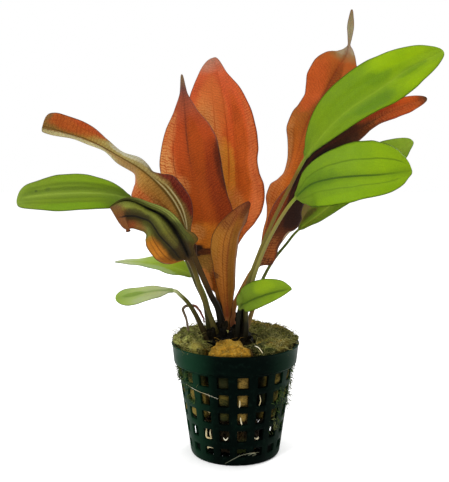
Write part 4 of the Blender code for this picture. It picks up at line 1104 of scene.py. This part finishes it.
                  (0.6, 6.2, 6.9, 5, -15), (0.65, 6.9, 5.2, 5, -20), (0.7, 7.5, 3.9, 5, -25),
                  (0.74, 7.2, 2.7, 5, -25), (0.78, 6.4, 2.3, 5, -20), (0.82, 5.4, 2.8, 5, -20),
                  (0.85, 4.8, 3.2, 5, -15), (0.9, 3.5, 3.2, 5, -10), (0.95, 2.7, 2.4, 0, 0),
                  (1, 0.2, 0.2, 0, 0)],
        "roll": [0, 0, 0, -10, -10],
        "wave": (0.5, 14),
    }, {
        # Painted shadow: the near-black stretch from 0.17 to about 0.7 along stands for the shade of the
        # green leaf in front.
        "along": [(-1, BLACK), (-0.2, (60, 42, 20)), (0.02, (96, 50, 26)), (0.1, (136, 70, 28)),
                  (0.17, (80, 40, 18)), (0.22, (52, 26, 14)), (0.36, (16, 10, 6)), (0.54, (12, 9, 6)),
                  (0.64, (50, 26, 12)), (0.76, (112, 58, 24)), (0.86, (190, 80, 30)),
                  (0.95, (206, 98, 36)), (1, (90, 60, 34))],
        "patches": [(-0.7, 0.2, 0.7, 0.17, (132, 60, 26), 0.9),
                    (0.6, 0.02, 0.6, 0.04, (74, 38, 28), 0.8),
                    (1.0, 0.11, 0.25, 0.06, (70, 44, 26), 0.8),
                    (1.0, 0.165, 0.16, 0.03, (214, 200, 160), 0.9),
                    (0.5, 0.24, 0.5, 0.06, (36, 18, 12), 0.8),
                    (-0.6, 0.78, 0.6, 0.12, (150, 58, 26), 0.6),
                    (0.3, 0.86, 0.5, 0.1, (196, 84, 34), 0.8)],
        "lace": [(0.3, 0.86, 0.6, 0.14, 0.2), (0.3, 0.07, 0.6, 0.08, 0.2)],
        "rib": (60, 24, 12), "rib_strength": 0.5, "vein_strength": 0.55,
    }),
}
for seed, (node, (leaf, look)) in enumerate(red_leaves.items()):
    grow(node, leaf, {**red_look, **look}, seed)

# ------------------------------------------------------------------ green leaves
# Eight leaves in the ordinary green: a little glossier than the red ones, with long veins that run
# from stalk to tip and a thin darker rim, partly painted shade. The drooping one is striped green
# and brown, with painted shade along its creases.

LEAF_GREEN = (120, 152, 14)
BRIGHT_GREEN = (146, 178, 4)
STALK_GREEN = (70, 70, 28)
green_look = {"vein": (0.62, 0.72, 0.6, 1), "vein_strength": 0.6, "rib": (166, 190, 60), "rib_strength": 0.5,
              "edge": (52, 66, 22), "back": (150, 172, 70), "glow": (0.2, 0.34, 0.012, 1),
              "light": 0.4, "rung_gap": 1.9, "rungs": 0.5, "lace_colour": (176, 200, 50), "gloss": 0.09,
              "tones": ((1.18, 1.12, 0.9, 1), (0.76, 0.82, 0.9, 1)), "depth": 0.08,
              "long_veins": ((0.4, 0.24), (0.72, 0.2))}

green_leaves = {
    "leaf_striped_drooping": ({
        "line": [(-7.8, -4, STALK_START), (-10.2, -4.8, 56.6), (-12.9, -6.3, 64), (-14.9, -9, 71.4),
                 (-16.3, -11.8, 76), (-17.4, -13.8, 79), (-19.8, -19.4, 85.8), (-22.6, -23.8, 91.8),
                 (-26.4, -28, 96.6), (-31.2, -31, 99.4), (-36, -33.5, 101.8), (-39.8, -34.5, 101.9),
                 (-43.8, -34.5, 99.9)],
        "blade_from": 5,
        "stalk": (0.95, 1.0),
        "blade": [(0, 0.9, 0.9, 0, 0), (0.02, 4.6, 2, 0, 15), (0.045, 7.6, 2.5, 0, 15),
                  (0.08, 9.4, 2.7, 0, 15), (0.12, 10.4, 3, 0, 15), (0.15, 10.9, 4, 0, 15),
                  (0.18, 11.3, 5.7, 0, 20), (0.22, 11.6, 6.5, 0, 25), (0.27, 11.9, 6.3, 0, 30),
                  (0.31, 12, 5, 0, 30), (0.36, 12, 3.7, 0, 30), (0.43, 11.6, 3.7, 0, 30),
                  (0.5, 10.6, 3.6, 0, 30), (0.57, 9.2, 3.1, 0, 30), (0.64, 8.2, 2.8, 0, 30),
                  (0.72, 8.6, 2.4, 0, 30), (0.79, 10.2, 2, 0, 30), (0.85, 10.8, 1.4, 0, 30),
                  (0.92, 10.7, 0.9, 0, 30), (0.985, 8.8, 0.5, 0, 20), (1, 0.6, 0.3, 0, 0)],
        "roll": [0, 5, 10, 10, 10],
        "wave": (0.3, 13),
        "creases": [(0, 1.2, 1.2), (-0.48, 1.6, 1.4)],
    }, {
        "along": [(-1, (50, 44, 18)), (-0.3, (92, 84, 36)), (0, (64, 44, 14)), (0.15, (68, 58, 20)),
                  (0.35, (112, 108, 36)), (0.6, (150, 156, 64)), (1, (136, 144, 56))],
        "patches": [(-0.9, 0.24, 0.4, 0.3, (214, 134, 40), 1.0),
                    (-0.95, 0.1, 0.4, 0.1, (170, 98, 30), 0.8),
                    (-0.9, 0.62, 0.3, 0.12, (128, 132, 62), 0.9),
                    (-1.0, 0.92, 0.8, 0.3, (150, 78, 36), 1.0),
                    (-0.5, 1.0, 0.7, 0.14, (116, 72, 34), 0.9),
                    (-0.4, 0.76, 0.24, 0.16, (60, 54, 22), 0.8),
                    (0.6, 0.6, 0.6, 0.4, (150, 160, 74), 0.8), (0.5, 0.3, 0.7, 0.16, (76, 78, 26), 0.9),
                    (0.9, 0.24, 0.2, 0.12, (110, 78, 30), 0.6),
                    (0.1, 0.12, 0.8, 0.12, (66, 46, 18), 0.8),
                    (-0.3, 0.28, 0.3, 0.1, (110, 104, 44), 0.7)],
        # The wide dark bands and black lines along the middle crease and the crease near -0.5 across are
        # painted shade in the creases; so is the black midrib.
        "stripes": [(-0.38, -0.5, 0.06, 0.92, 3.2, (44, 36, 12), 0.8),
                    (-0.36, -0.48, 0.04, 0.97, 0.5, (14, 10, 6), 0.9),
                    (0.06, 0, 0.04, 0.56, 2.3, (32, 26, 10), 0.8),
                    (0, 0, 0.2, 0.7, 1.1, (16, 14, 6), 0.8),
                    (-0.12, -0.2, 0.1, 0.5, 0.5, (60, 56, 24), 0.5),
                    (0.35, 0.45, 0.2, 0.9, 0.4, (44, 50, 20), 0.6),
                    (0.62, 0.7, 0.3, 0.9, 0.35, (64, 72, 28), 0.5),
                    (-0.7, -0.72, 0.06, 0.5, 0.35, (96, 48, 14), 0.7),
                    (-0.84, -0.84, 0.1, 0.46, 0.3, (120, 60, 18), 0.6),
                    (-0.92, -0.92, 0.5, 0.98, 0.3, (90, 46, 20), 0.5)],
        "rib": (12, 10, 6), "rib_strength": 1.0, "rib_shade": 0.3, "vein_strength": 0.8,
        "vein": (0.5, 0.45, 0.4, 1), "edge": (44, 30, 14), "back": (150, 90, 40), "light": 0.25,
        "glow": (0.16, 0.16, 0.03, 1),
    }),
    "leaf_green_left": ({
        "line": [(-10.2, 0.6, STALK_START), (-12, -0.5, 60), (-15, -2, 67), (-18, -5, 75.5),
                 (-21, -10, 83), (-25.5, -16, 91.5), (-31.5, -21, 98.5), (-37, -25, 102),
                 (-44, -28, 104), (-53, -30, 104.5), (-63.5, -30, 104), (-73, -28, 103),
                 (-78.2, -25, 102)],
        "blade_from": 7,
        "stalk": (0.85, 0.65),
        "blade": [(0, 0.9, 0.9, 0, 0), (0.05, 3.6, 1.6, 5, 5), (0.1, 4.8, 2.8, 8, 8),
                  (0.2, 6.2, 5, 8, 8), (0.3, 6.8, 6.3, 8, 8), (0.4, 7.2, 7.4, 6, 8),
                  (0.5, 7.4, 7.8, 6, 8), (0.6, 7.2, 7.7, 6, 8), (0.7, 6.4, 7, 6, 8),
                  (0.8, 5.4, 6.1, 6, 8), (0.9, 4.2, 5, 6, 8), (0.96, 3, 3.5, 6, 8), (1, 0.3, 0.3, 6, 8)],
        "roll": [0, 10, 25, 35, 30],
        "wave": (0.15, 13),
        "creases": [(0.2, 0.3, 0.9), (-0.2, 0.3, 0.9), (0.45, 0.25, 0.9), (-0.45, 0.25, 0.9)],
    }, {
        "along": [(-1, (56, 52, 22)), (-0.4, STALK_GREEN), (0, (84, 104, 30)), (0.3, (112, 136, 22)),
                  (0.7, (124, 146, 26)), (1, (128, 150, 48))],
        "stripes": [(0.24, 0.24, 0, 0.95, 1.3, (80, 100, 20), 0.6),
                    (-0.2, -0.2, 0, 0.95, 0.9, (92, 114, 20), 0.6),
                    (0.5, 0.5, 0, 0.9, 0.9, (90, 112, 18), 0.5),
                    (-0.5, -0.5, 0.1, 0.9, 0.7, (98, 120, 20), 0.5),
                    (0.02, 0.02, 0.25, 0.9, 0.4, (160, 180, 66), 0.5)],
        "patches": [(0.3, 0.8, 0.08, 0.015, (50, 60, 22), 1.0),
                    (0.3, 0.7, 0.12, 0.03, (84, 100, 36), 0.6),
                    (0.8, 0.4, 0.3, 0.3, (134, 166, 20), 0.6),
                    (-0.8, 0.5, 0.3, 0.3, (120, 158, 16), 0.7)],
        "rib": (146, 168, 62), "rib_strength": 0.35,
    }),
    "leaf_rear_left": ({
        "line": [(-9.3, 3.5, STALK_START), (-11.8, 7, 59.5), (-14.3, 11, 65), (-16.5, 13, 68),
                 (-23.5, 18, 70.5), (-32.5, 23, 72), (-42.5, 28, 72), (-51.8, 32, 71.5)],
        "blade_from": 3,
        "stalk": (1.0, 0.7),
        "blade": [(0, 0.8, 0.8, 0, 0), (0.1, 3.4, 3, 8, 8), (0.2, 4.8, 5, 8, 8), (0.3, 5, 5.6, 8, 8),
                  (0.4, 4.4, 5.2, 8, 8), (0.5, 3.7, 4.4, 8, 8), (0.6, 3, 3.6, 8, 8),
                  (0.7, 2.4, 2.7, 8, 8), (0.8, 1.8, 1.8, 8, 8), (0.9, 1.1, 1.1, 8, 8),
                  (1, 0.2, 0.2, 8, 8)],
        "roll": [0, 25, 55, 55, 50],
        "wave": (0.2, 12),
    }, {
        "along": [(-1, (56, 52, 22)), (0, (112, 130, 30)), (0.3, (146, 172, 30)), (0.6, (176, 198, 96)),
                  (0.85, (206, 212, 172)), (1, (206, 210, 184))],
        "patches": [(-0.8, 0.45, 0.4, 0.3, (176, 196, 130), 0.8)],
    }),
    "leaf_low_left": ({
        "line": [(-12.4, -3.2, STALK_START), (-15.6, -5, 56.2), (-18.2, -8, 61.2), (-21.3, -10.5, 65),
                 (-23.4, -12.3, 66.8), (-30, -16, 67.4), (-37.5, -18, 66.2), (-44.6, -19, 65)],
        "blade_from": 4,
        "stalk": (1.0, 0.7),
        "blade": [(0, 0.8, 0.8, 0, 0), (0.1, 1.1, 1.1, 6, 6), (0.2, 2.1, 1.5, 6, 6), (0.3, 3, 2, 6, 6),
                  (0.4, 3.5, 2.3, 6, 6), (0.5, 3.9, 2.5, 6, 6), (0.6, 4.1, 2.8, 6, 6),
                  (0.7, 4.3, 3.1, 6, 6), (0.8, 4.3, 3.2, 6, 6), (0.9, 3.5, 2.8, 6, 6),
                  (0.96, 2.3, 2, 6, 6), (1, 0.3, 0.3, 6, 6)],
        "roll": [0, 10, 25, 40, 40],
        "wave": (0.15, 10),
    }, {
        "along": [(-1, (40, 30, 16)), (-0.6, (58, 50, 22)), (-0.2, (76, 76, 30)), (0, (170, 176, 124)),
                  (0.2, (212, 214, 168)), (0.6, (190, 204, 130)), (1, (160, 186, 70))],
        "patches": [(0.1, 0.7, 0.3, 0.2, (130, 160, 50), 0.7),
                    (-0.7, 0.5, 0.4, 0.3, (186, 196, 146), 0.7)],
        "rib": (132, 158, 76),
    }),
    "leaf_large_green": ({
        "line": [(1.3, -2.7, STALK_START), (2.2, -3.3, 57.5), (4.7, -5, 67.8), (8.5, -7, 79.2),
                 (13.8, -9.4, 92.5), (19.2, -12.2, 104.3), (24.9, -16.8, 116.2), (31, -20, 125),
                 (39.5, -23, 133.5), (52, -25, 142), (60.5, -24, 148), (73.3, -20, 154.5)],
        "blade_from": 6,
        "stalk": (0.8, 0.6),
        "blade": [(0, 0.9, 0.9, 0, 0), (0.05, 2.2, 1.2, 6, 6), (0.1, 4.2, 2.2, 8, 8),
                  (0.2, 7.6, 4.2, 8, 8), (0.3, 9.6, 5.6, 8, 8), (0.4, 11, 6.4, 8, 8),
                  (0.5, 11.6, 7.2, 8, 8), (0.6, 11.3, 8, 8, 8), (0.7, 10.1, 8, 8, 8),
                  (0.8, 8, 6.8, 8, 8), (0.9, 5.6, 4.8, 8, 8), (0.95, 3.8, 3.3, 8, 8),
                  (1, 0.2, 0.2, 8, 8)],
        "roll": [0, -5, -15, -25, -25],
        "wave": (0.3, 19),
        "creases": [(-0.4, 0.25, 0.9), (0.4, 0.2, 0.9)],
    }, {
        "along": [(-1, BLACK), (-0.88, BLACK), (-0.8, (70, 66, 28)), (-0.6, (104, 96, 42)),
                  (-0.08, (104, 80, 28)), (0.03, (110, 134, 36)), (0.2, (120, 148, 20)),
                  (0.5, LEAF_GREEN), (0.8, BRIGHT_GREEN), (1, (140, 170, 20))],
        "patches": [(-0.35, 0.6, 0.3, 0.1, (106, 140, 16), 0.7),
                    (0.1, 0.78, 0.2, 0.12, (104, 140, 14), 0.7),
                    (0.5, 0.5, 0.4, 0.14, (96, 130, 24), 0.7),
                    (-0.7, 0.75, 0.4, 0.2, (160, 192, 0), 0.8),
                    (0.1, 0.45, 0.3, 0.2, (112, 144, 22), 0.6),
                    (0.7, 0.8, 0.3, 0.15, (156, 188, 4), 0.7)],
        "glow": (0.26, 0.42, 0.01, 1), "rib": (150, 178, 44),
    }),
    "leaf_oval_green": ({
        "line": [(3.9, -4.8, STALK_START), (4.1, -5.6, 59), (6.4, -8.3, 69.6), (9.4, -11, 79.3),
                 (12.9, -14, 87.8), (17.1, -17.5, 96), (21.1, -22, 102.2), (26.3, -26, 107.3),
                 (33, -30, 109.5), (41, -33, 110.5), (49, -34, 111), (60.3, -33, 112.4)],
        "blade_from": 6,
        "stalk": (0.8, 0.6),
        "blade": [(0, 0.9, 0.9, 0, 0), (0.05, 1.8, 4.4, 6, 6), (0.1, 3, 7.2, 8, 8),
                  (0.2, 6.6, 9.2, 8, 8), (0.3, 9.4, 10.4, 8, 8), (0.4, 11, 10.9, 8, 8),
                  (0.5, 12.4, 10.9, 8, 8), (0.6, 12.8, 9.8, 8, 8), (0.7, 12.8, 8.6, 8, 8),
                  (0.8, 11.8, 7.2, 8, 8), (0.9, 9.4, 5, 8, 8), (0.96, 6, 2.5, 8, 8),
                  (1, 0.3, 0.3, 8, 8)],
        "roll": [0, -5, -20, -30, -25],
        "wave": (0.15, 17),
        "creases": [(-0.45, 0.25, 0.9), (0.45, 0.25, 0.9)],
    }, {
        "along": [(-1, BLACK), (-0.88, (30, 28, 14)), (-0.78, (88, 82, 38)), (-0.5, (120, 114, 58)),
                  (-0.08, (122, 114, 54)), (0.03, (112, 134, 34)), (0.2, (114, 146, 26)),
                  (0.55, (134, 168, 24)), (0.8, (146, 180, 16)), (1, (138, 170, 12))],
        "patches": [(0.85, 0.6, 0.3, 0.4, (138, 174, 6), 0.7),
                    (-0.1, 0.25, 0.4, 0.2, (98, 132, 26), 0.6)],
        "stripes": [(-0.46, -0.46, 0, 0.95, 0.45, (80, 108, 16), 0.6),
                    (0.42, 0.42, 0, 0.9, 0.4, (86, 114, 18), 0.5)],
        "rib": (60, 88, 20), "rib_strength": 0.9,
    }),
    "leaf_rear_right": ({
        "line": [(4.6, 3.4, STALK_START), (7.2, 5, 56.4), (9.2, 6.2, 62.8), (11.4, 7.4, 68.6),
                 (15.6, 11, 75.3), (20.8, 14, 81.2), (26, 16, 87), (36, 18, 94.3), (47.7, 20, 104),
                 (60, 21, 113.5), (73.2, 20, 123.4)],
        "blade_from": 6,
        "stalk": (0.75, 0.5),
        "blade": [(0, 0.8, 0.8, 0, 0), (0.03, 2.6, 1.2, 6, 6), (0.06, 5, 1.5, 6, 6),
                  (0.1, 7.8, 2, 8, 8), (0.14, 9, 2.6, 8, 8), (0.2, 8.6, 3, 8, 8), (0.3, 7.2, 4, 8, 8),
                  (0.4, 6.8, 4.8, 8, 8), (0.5, 7, 5.4, 8, 8), (0.6, 7.8, 6.2, 8, 8),
                  (0.7, 8.6, 6, 8, 8), (0.8, 8, 5.4, 8, 8), (0.9, 5.8, 4.2, 8, 8), (0.95, 4, 2.6, 8, 8),
                  (1, 0.2, 0.2, 8, 8)],
        "roll": [0, -5, -15, -20, -20],
    }, {
        "along": [(-1, (120, 92, 60)), (-0.75, (140, 116, 64)), (-0.5, (84, 92, 40)),
                  (-0.1, (76, 92, 34)), (0, (96, 114, 34)), (0.25, (110, 134, 26)),
                  (0.7, (124, 152, 22)), (1, (142, 170, 50))],
        "patches": [(-0.8, 0.1, 0.5, 0.12, (160, 128, 82), 0.95),
                    (-0.3, 0.12, 0.14, 0.1, (84, 62, 30), 0.8),
                    (-1.0, 0.06, 0.2, 0.1, (70, 50, 28), 0.8)],
    }),
    "leaf_small_front": ({
        "line": [(0.6, -6.2, STALK_START), (1.6, -8.4, 59.2), (4.2, -11.8, 62.2), (8.2, -16, 64.9),
                 (13.5, -20, 67.5), (20, -24, 69.6)],
        "blade_from": 1,
        "stalk": (0.9, 0.8),
        "blade": [(0, 0.9, 0.9, 0, 0), (0.04, 2, 1.8, 6, 6), (0.1, 4.1, 2.8, 6, 6),
                  (0.2, 5.4, 3.7, 8, 8), (0.3, 6.1, 4, 8, 8), (0.43, 6.4, 4.1, 8, 8),
                  (0.56, 6.1, 3.9, 8, 8), (0.7, 5.3, 3.4, 8, 8), (0.8, 4.5, 2.7, 8, 8),
                  (0.89, 3.4, 1.9, 8, 8), (0.96, 1.8, 1, 8, 8), (1, 0.3, 0.3, 8, 8)],
        "roll": [0, -15, -25, -25, -25],
        "wave": (0.15, 12),
    }, {
        "along": [(-1, BLACK), (-0.04, (22, 22, 10)), (0.03, (120, 134, 50)), (0.15, (112, 134, 36)),
                  (0.4, (116, 142, 32)), (0.7, (132, 160, 26)), (1, (136, 164, 30))],
        "patches": [(-0.5, 0.6, 0.5, 0.2, (150, 178, 20), 0.6),
                    (0.5, 0.35, 0.4, 0.2, (116, 144, 40), 0.6)],
        "stripes": [(0.04, 0.04, 0, 0.9, 0.5, (66, 88, 16), 0.7)], "rib": (60, 82, 18), "rib_strength": 0.5,
    }),
}
for seed, (node, (leaf, look)) in enumerate(green_leaves.items(), 10):
    grow(node, leaf, {**green_look, **look}, seed)

# ------------------------------------------------------------------ old leaf bases
# Near-black sheaths stand between the living stalks: partly old leaf bases, partly painted shade
# among the crowded stalks. Three small pale buds show among them.


def joined(parts):
    """Several meshes made into one, taking the parts."""
    whole = bmesh.new()
    for part in parts:
        piece = bpy.data.meshes.new("part")
        part.to_mesh(piece)
        part.free()
        whole.from_mesh(piece)
        bpy.data.meshes.remove(piece)
    return whole


sheaths = []
for seed, (x, y, lean, top, width) in enumerate((
        (-10.2, -5.0, -0.6, 50.6, 1.0), (-8.6, -5.8, -0.4, 51.4, 1.1), (-5.4, -5.4, 0.2, 53.0, 1.2),
        (-4.4, -6.0, 0.9, 54.0, 1.2), (-0.6, -5.2, 0.4, 52.4, 1.3), (0.7, -5.4, 0.7, 57.6, 1.5),
        (2.7, -4.4, 0.5, 58.4, 1.5), (-6.4, 3.6, -0.8, 51.6, 1.4), (-0.8, 4.4, 0.6, 55.5, 2.0))):
    middle = (x + lean * 0.4, y - 0.3, (STALK_START + top) / 2)
    widths = [(0, 0.9, 0.9, 0, 0), (0.3, width, width, 20, 20),
              (0.7, width * 0.8, width * 0.8, 30, 30), (1, 0.2, 0.2, 20, 20)]
    sheaths.append(leaf_mesh({"line": [(x, y, STALK_START - 0.6), middle, (x + lean, y - 0.4, top)],
                              "blade_from": 1, "blade": widths, "stalk": (1.1, 0.9), "wave": (0.2, 4),
                              "roll": [0, 0]}, seed))
# Near-black sheaths: partly old leaf bases, partly painted shade among the crowded stalks.
sheaths_and_shade = put_in_scene("leaf_bases_and_shade", joined(sheaths), crown_finish, SMOOTH_ALL)
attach(sheaths_and_shade, "root")
buds = []
for x, y, z, tall in ((-3.7, -6.6, 49.4, 1.6), (-3.0, -6.8, 49.3, 1.1), (-4.4, -6.7, 49.2, 0.9)):
    shares = [(z, 0.3), (z + tall * 0.4, 1), (z + tall * 0.8, 0.7), (z + tall, 0.2)]
    buds.append(lump((x, y), (0.42, 0.4), shares, 12, 12, 0.15, 0.8))
pale_buds = put_in_scene("pale_buds", joined(buds), thread_finish)
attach(pale_buds, "root")

# ------------------------------------------------------------------ old runner
# A dry runner from an earlier season, thin and a little knotty, that leaves the wool on the left,
# arches over and comes back down to the crown.

runner_finish, start = new_finish("runner_dry", {"Specular IOR Level": 0.1})
where = object_place(start)
place = where.add("SeparateXYZ", {}, {0: where})
tone = ramp(grain(where, 500, 3), 0.35, 0.7)
colour = tint(ramp(place["X"], -0.0195, -0.0155), seen(112, 98, 80), seen(150, 96, 78))
low_right = ramp(place["X"], -0.0165, -0.0145) * ramp(place["Z"], 0.0575, 0.0545)
colour = tint(low_right * 0.8, colour, seen(150, 62, 62))
colour = tint(tone * 0.5, colour, seen(70, 56, 40))
feed(runner_finish, {"Base Color": colour, "Roughness": 0.6 + 0.25 * tone,
                     "Normal": relief(grain(where, 2400, 3), 0.08)})
runner_line = Line([(-18.5, -4.5, 49.5), (-18.7, -4.4, 51.6), (-19.3, -4.2, 54.7), (-20.5, -3.5, 57.6),
                    (-19.3, -2, 58.9), (-16.2, -0.5, 58.6), (-14.4, 0.4, 57), (-12.9, 1, 54),
                    (-12.4, 1.9, 51.5)])
runner_path = []
for k in range(70):
    here, forward = runner_line.at(runner_line.length * k / 69)
    runner_path.append(here + Vector((0.15 * noise.noise(here * 0.8), 0, 0.15 * noise.noise(here * 0.9))))
runner = put_in_scene("runner_arch", strands([runner_path], [1.15], 14), runner_finish)
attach(runner, "root")
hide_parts("old_runner")

# ------------------------------------------------------------------ loose roots and moss
# On the outside of the basket: a few pale roots that have crept out of its windows, and tufts of
# green moss and algae that cling under the collar and to the wall.


def on_wall(turn, height, clear):
    """A place just outside the basket, at a turn in degrees and a height."""
    angle = math.radians(turn)
    radius = pot_outside(height) + clear
    return Vector((radius * math.cos(angle), radius * math.sin(angle), height))


def along_wall(places, count):
    """A path of evenly spaced points through places given as (turn, height, clear)."""
    line = Line([on_wall(*place) for place in places])
    return [line.at(line.length * k / (count - 1))[0] for k in range(count)]


creeping = [([(-103, 1.0, 0.15), (-93, 3.1, 0.2), (-84, 4.6, 0.2), (-72, 5.2, 0.2), (-62, 5.0, 0.2)], 0.28),
            ([(-75, 4.4, 0.2), (-70, 5.2, 0.6), (-66, 4.6, 0.4), (-70, 4.0, 0.2)], 0.4),
            ([(-150, 30.2, 0.3), (-132, 29.2, 0.2), (-120, 28.6, 0.2), (-108, 27.4, 0.2)], 0.12),
            ([(-86.5, 28.4, -1.3), (-86, 26, -0.5), (-86.5, 23.6, -0.9), (-85.5, 22.4, -1.8)], 0.6),
            ([(-84.5, 21.4, -1.2), (-84.8, 19, -0.5), (-83.5, 17, -0.8), (-83, 15.6, -2)], 0.6),
            ([(-64, 28, -1.2), (-63.5, 26, -0.6), (-64.5, 24, -0.8), (-64, 22.8, -1.8)], 0.4),
            ([(-127.5, 13.9, -1.4), (-127, 12.2, -0.7), (-126.5, 10.4, -0.7), (-120, 10.3, -0.9)], 0.75),
            ([(-122.5, 13.6, -1.6), (-121.5, 12.4, -0.8), (-121, 11.2, -0.8), (-121, 10.2, -1.2)], 0.6),
            ([(-119, 6.3, -1.2), (-123, 6.6, -0.7), (-126.5, 6.4, -0.7), (-127, 5.5, -1)], 0.7),
            ([(-67, 10.8, -1.2), (-65, 10.5, -0.7), (-63, 10.6, -0.7), (-61.5, 11, -1.2)], 0.6),
            ([(-105, 11.2, -1.2), (-103, 10.6, -0.7), (-101, 10.6, -0.8), (-99.5, 11.4, -1.3)], 0.5),
            ([(-71.5, 47.6, -3.2), (-69, 47.2, -2.2), (-67.6, 46.2, -1.1), (-66.6, 45.3, -0.5)], 0.4)]
creepers_mesh = strands([along_wall(places, 16) for places, _ in creeping], [wide for _, wide in creeping], 8)
pale_creepers = put_in_scene("pale_creepers", creepers_mesh, pale_finish)
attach(pale_creepers, "root")

moss_finish, start = new_finish("moss_green", {"Roughness": 0.9, "Specular IOR Level": 0.05})
where = object_place(start)
tone = ramp(grain(where, 260, 3), 0.35, 0.65)
colour = tint(tone, seen(24, 42, 20), seen(76, 96, 44))
colour = tint(ramp(grain(where, 120, 2), 0.55, 0.7), colour, seen(104, 108, 66))
feed(moss_finish, {"Base Color": colour})
chance = random.Random(23)
tufts = []
for turn, spread, low, high, count in ((-158, 10, 31, 37, 120), (-172, 8, 30, 37, 80), (-12, 6, 20, 37, 170),
                                       (-36, 7, 12, 30, 150), (-146, 6, 24, 31, 50), (60, 14, 24, 36, 90),
                                       (130, 12, 26, 36, 80)):
    for _ in range(count):
        begin = on_wall(turn + chance.gauss(0, spread), chance.uniform(low, high), chance.uniform(-0.2, 0.3))
        outward = Vector((begin.x, begin.y, 0)).normalized()
        heading = outward * 0.5 + Vector([chance.gauss(0, 0.6) for _ in range(3)])
        tufts.append(wander(chance, begin, heading, chance.uniform(0.15, 0.4), 7, lambda spot: spot,
                            Vector((0, 0, -0.25)), 0.7))
moss_mesh = strands(tufts, [chance.uniform(0.1, 0.3) for _ in tufts], 3)
moss = put_in_scene("moss_tufts", moss_mesh, moss_finish, SMOOTH_ALL)
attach(moss, "root")
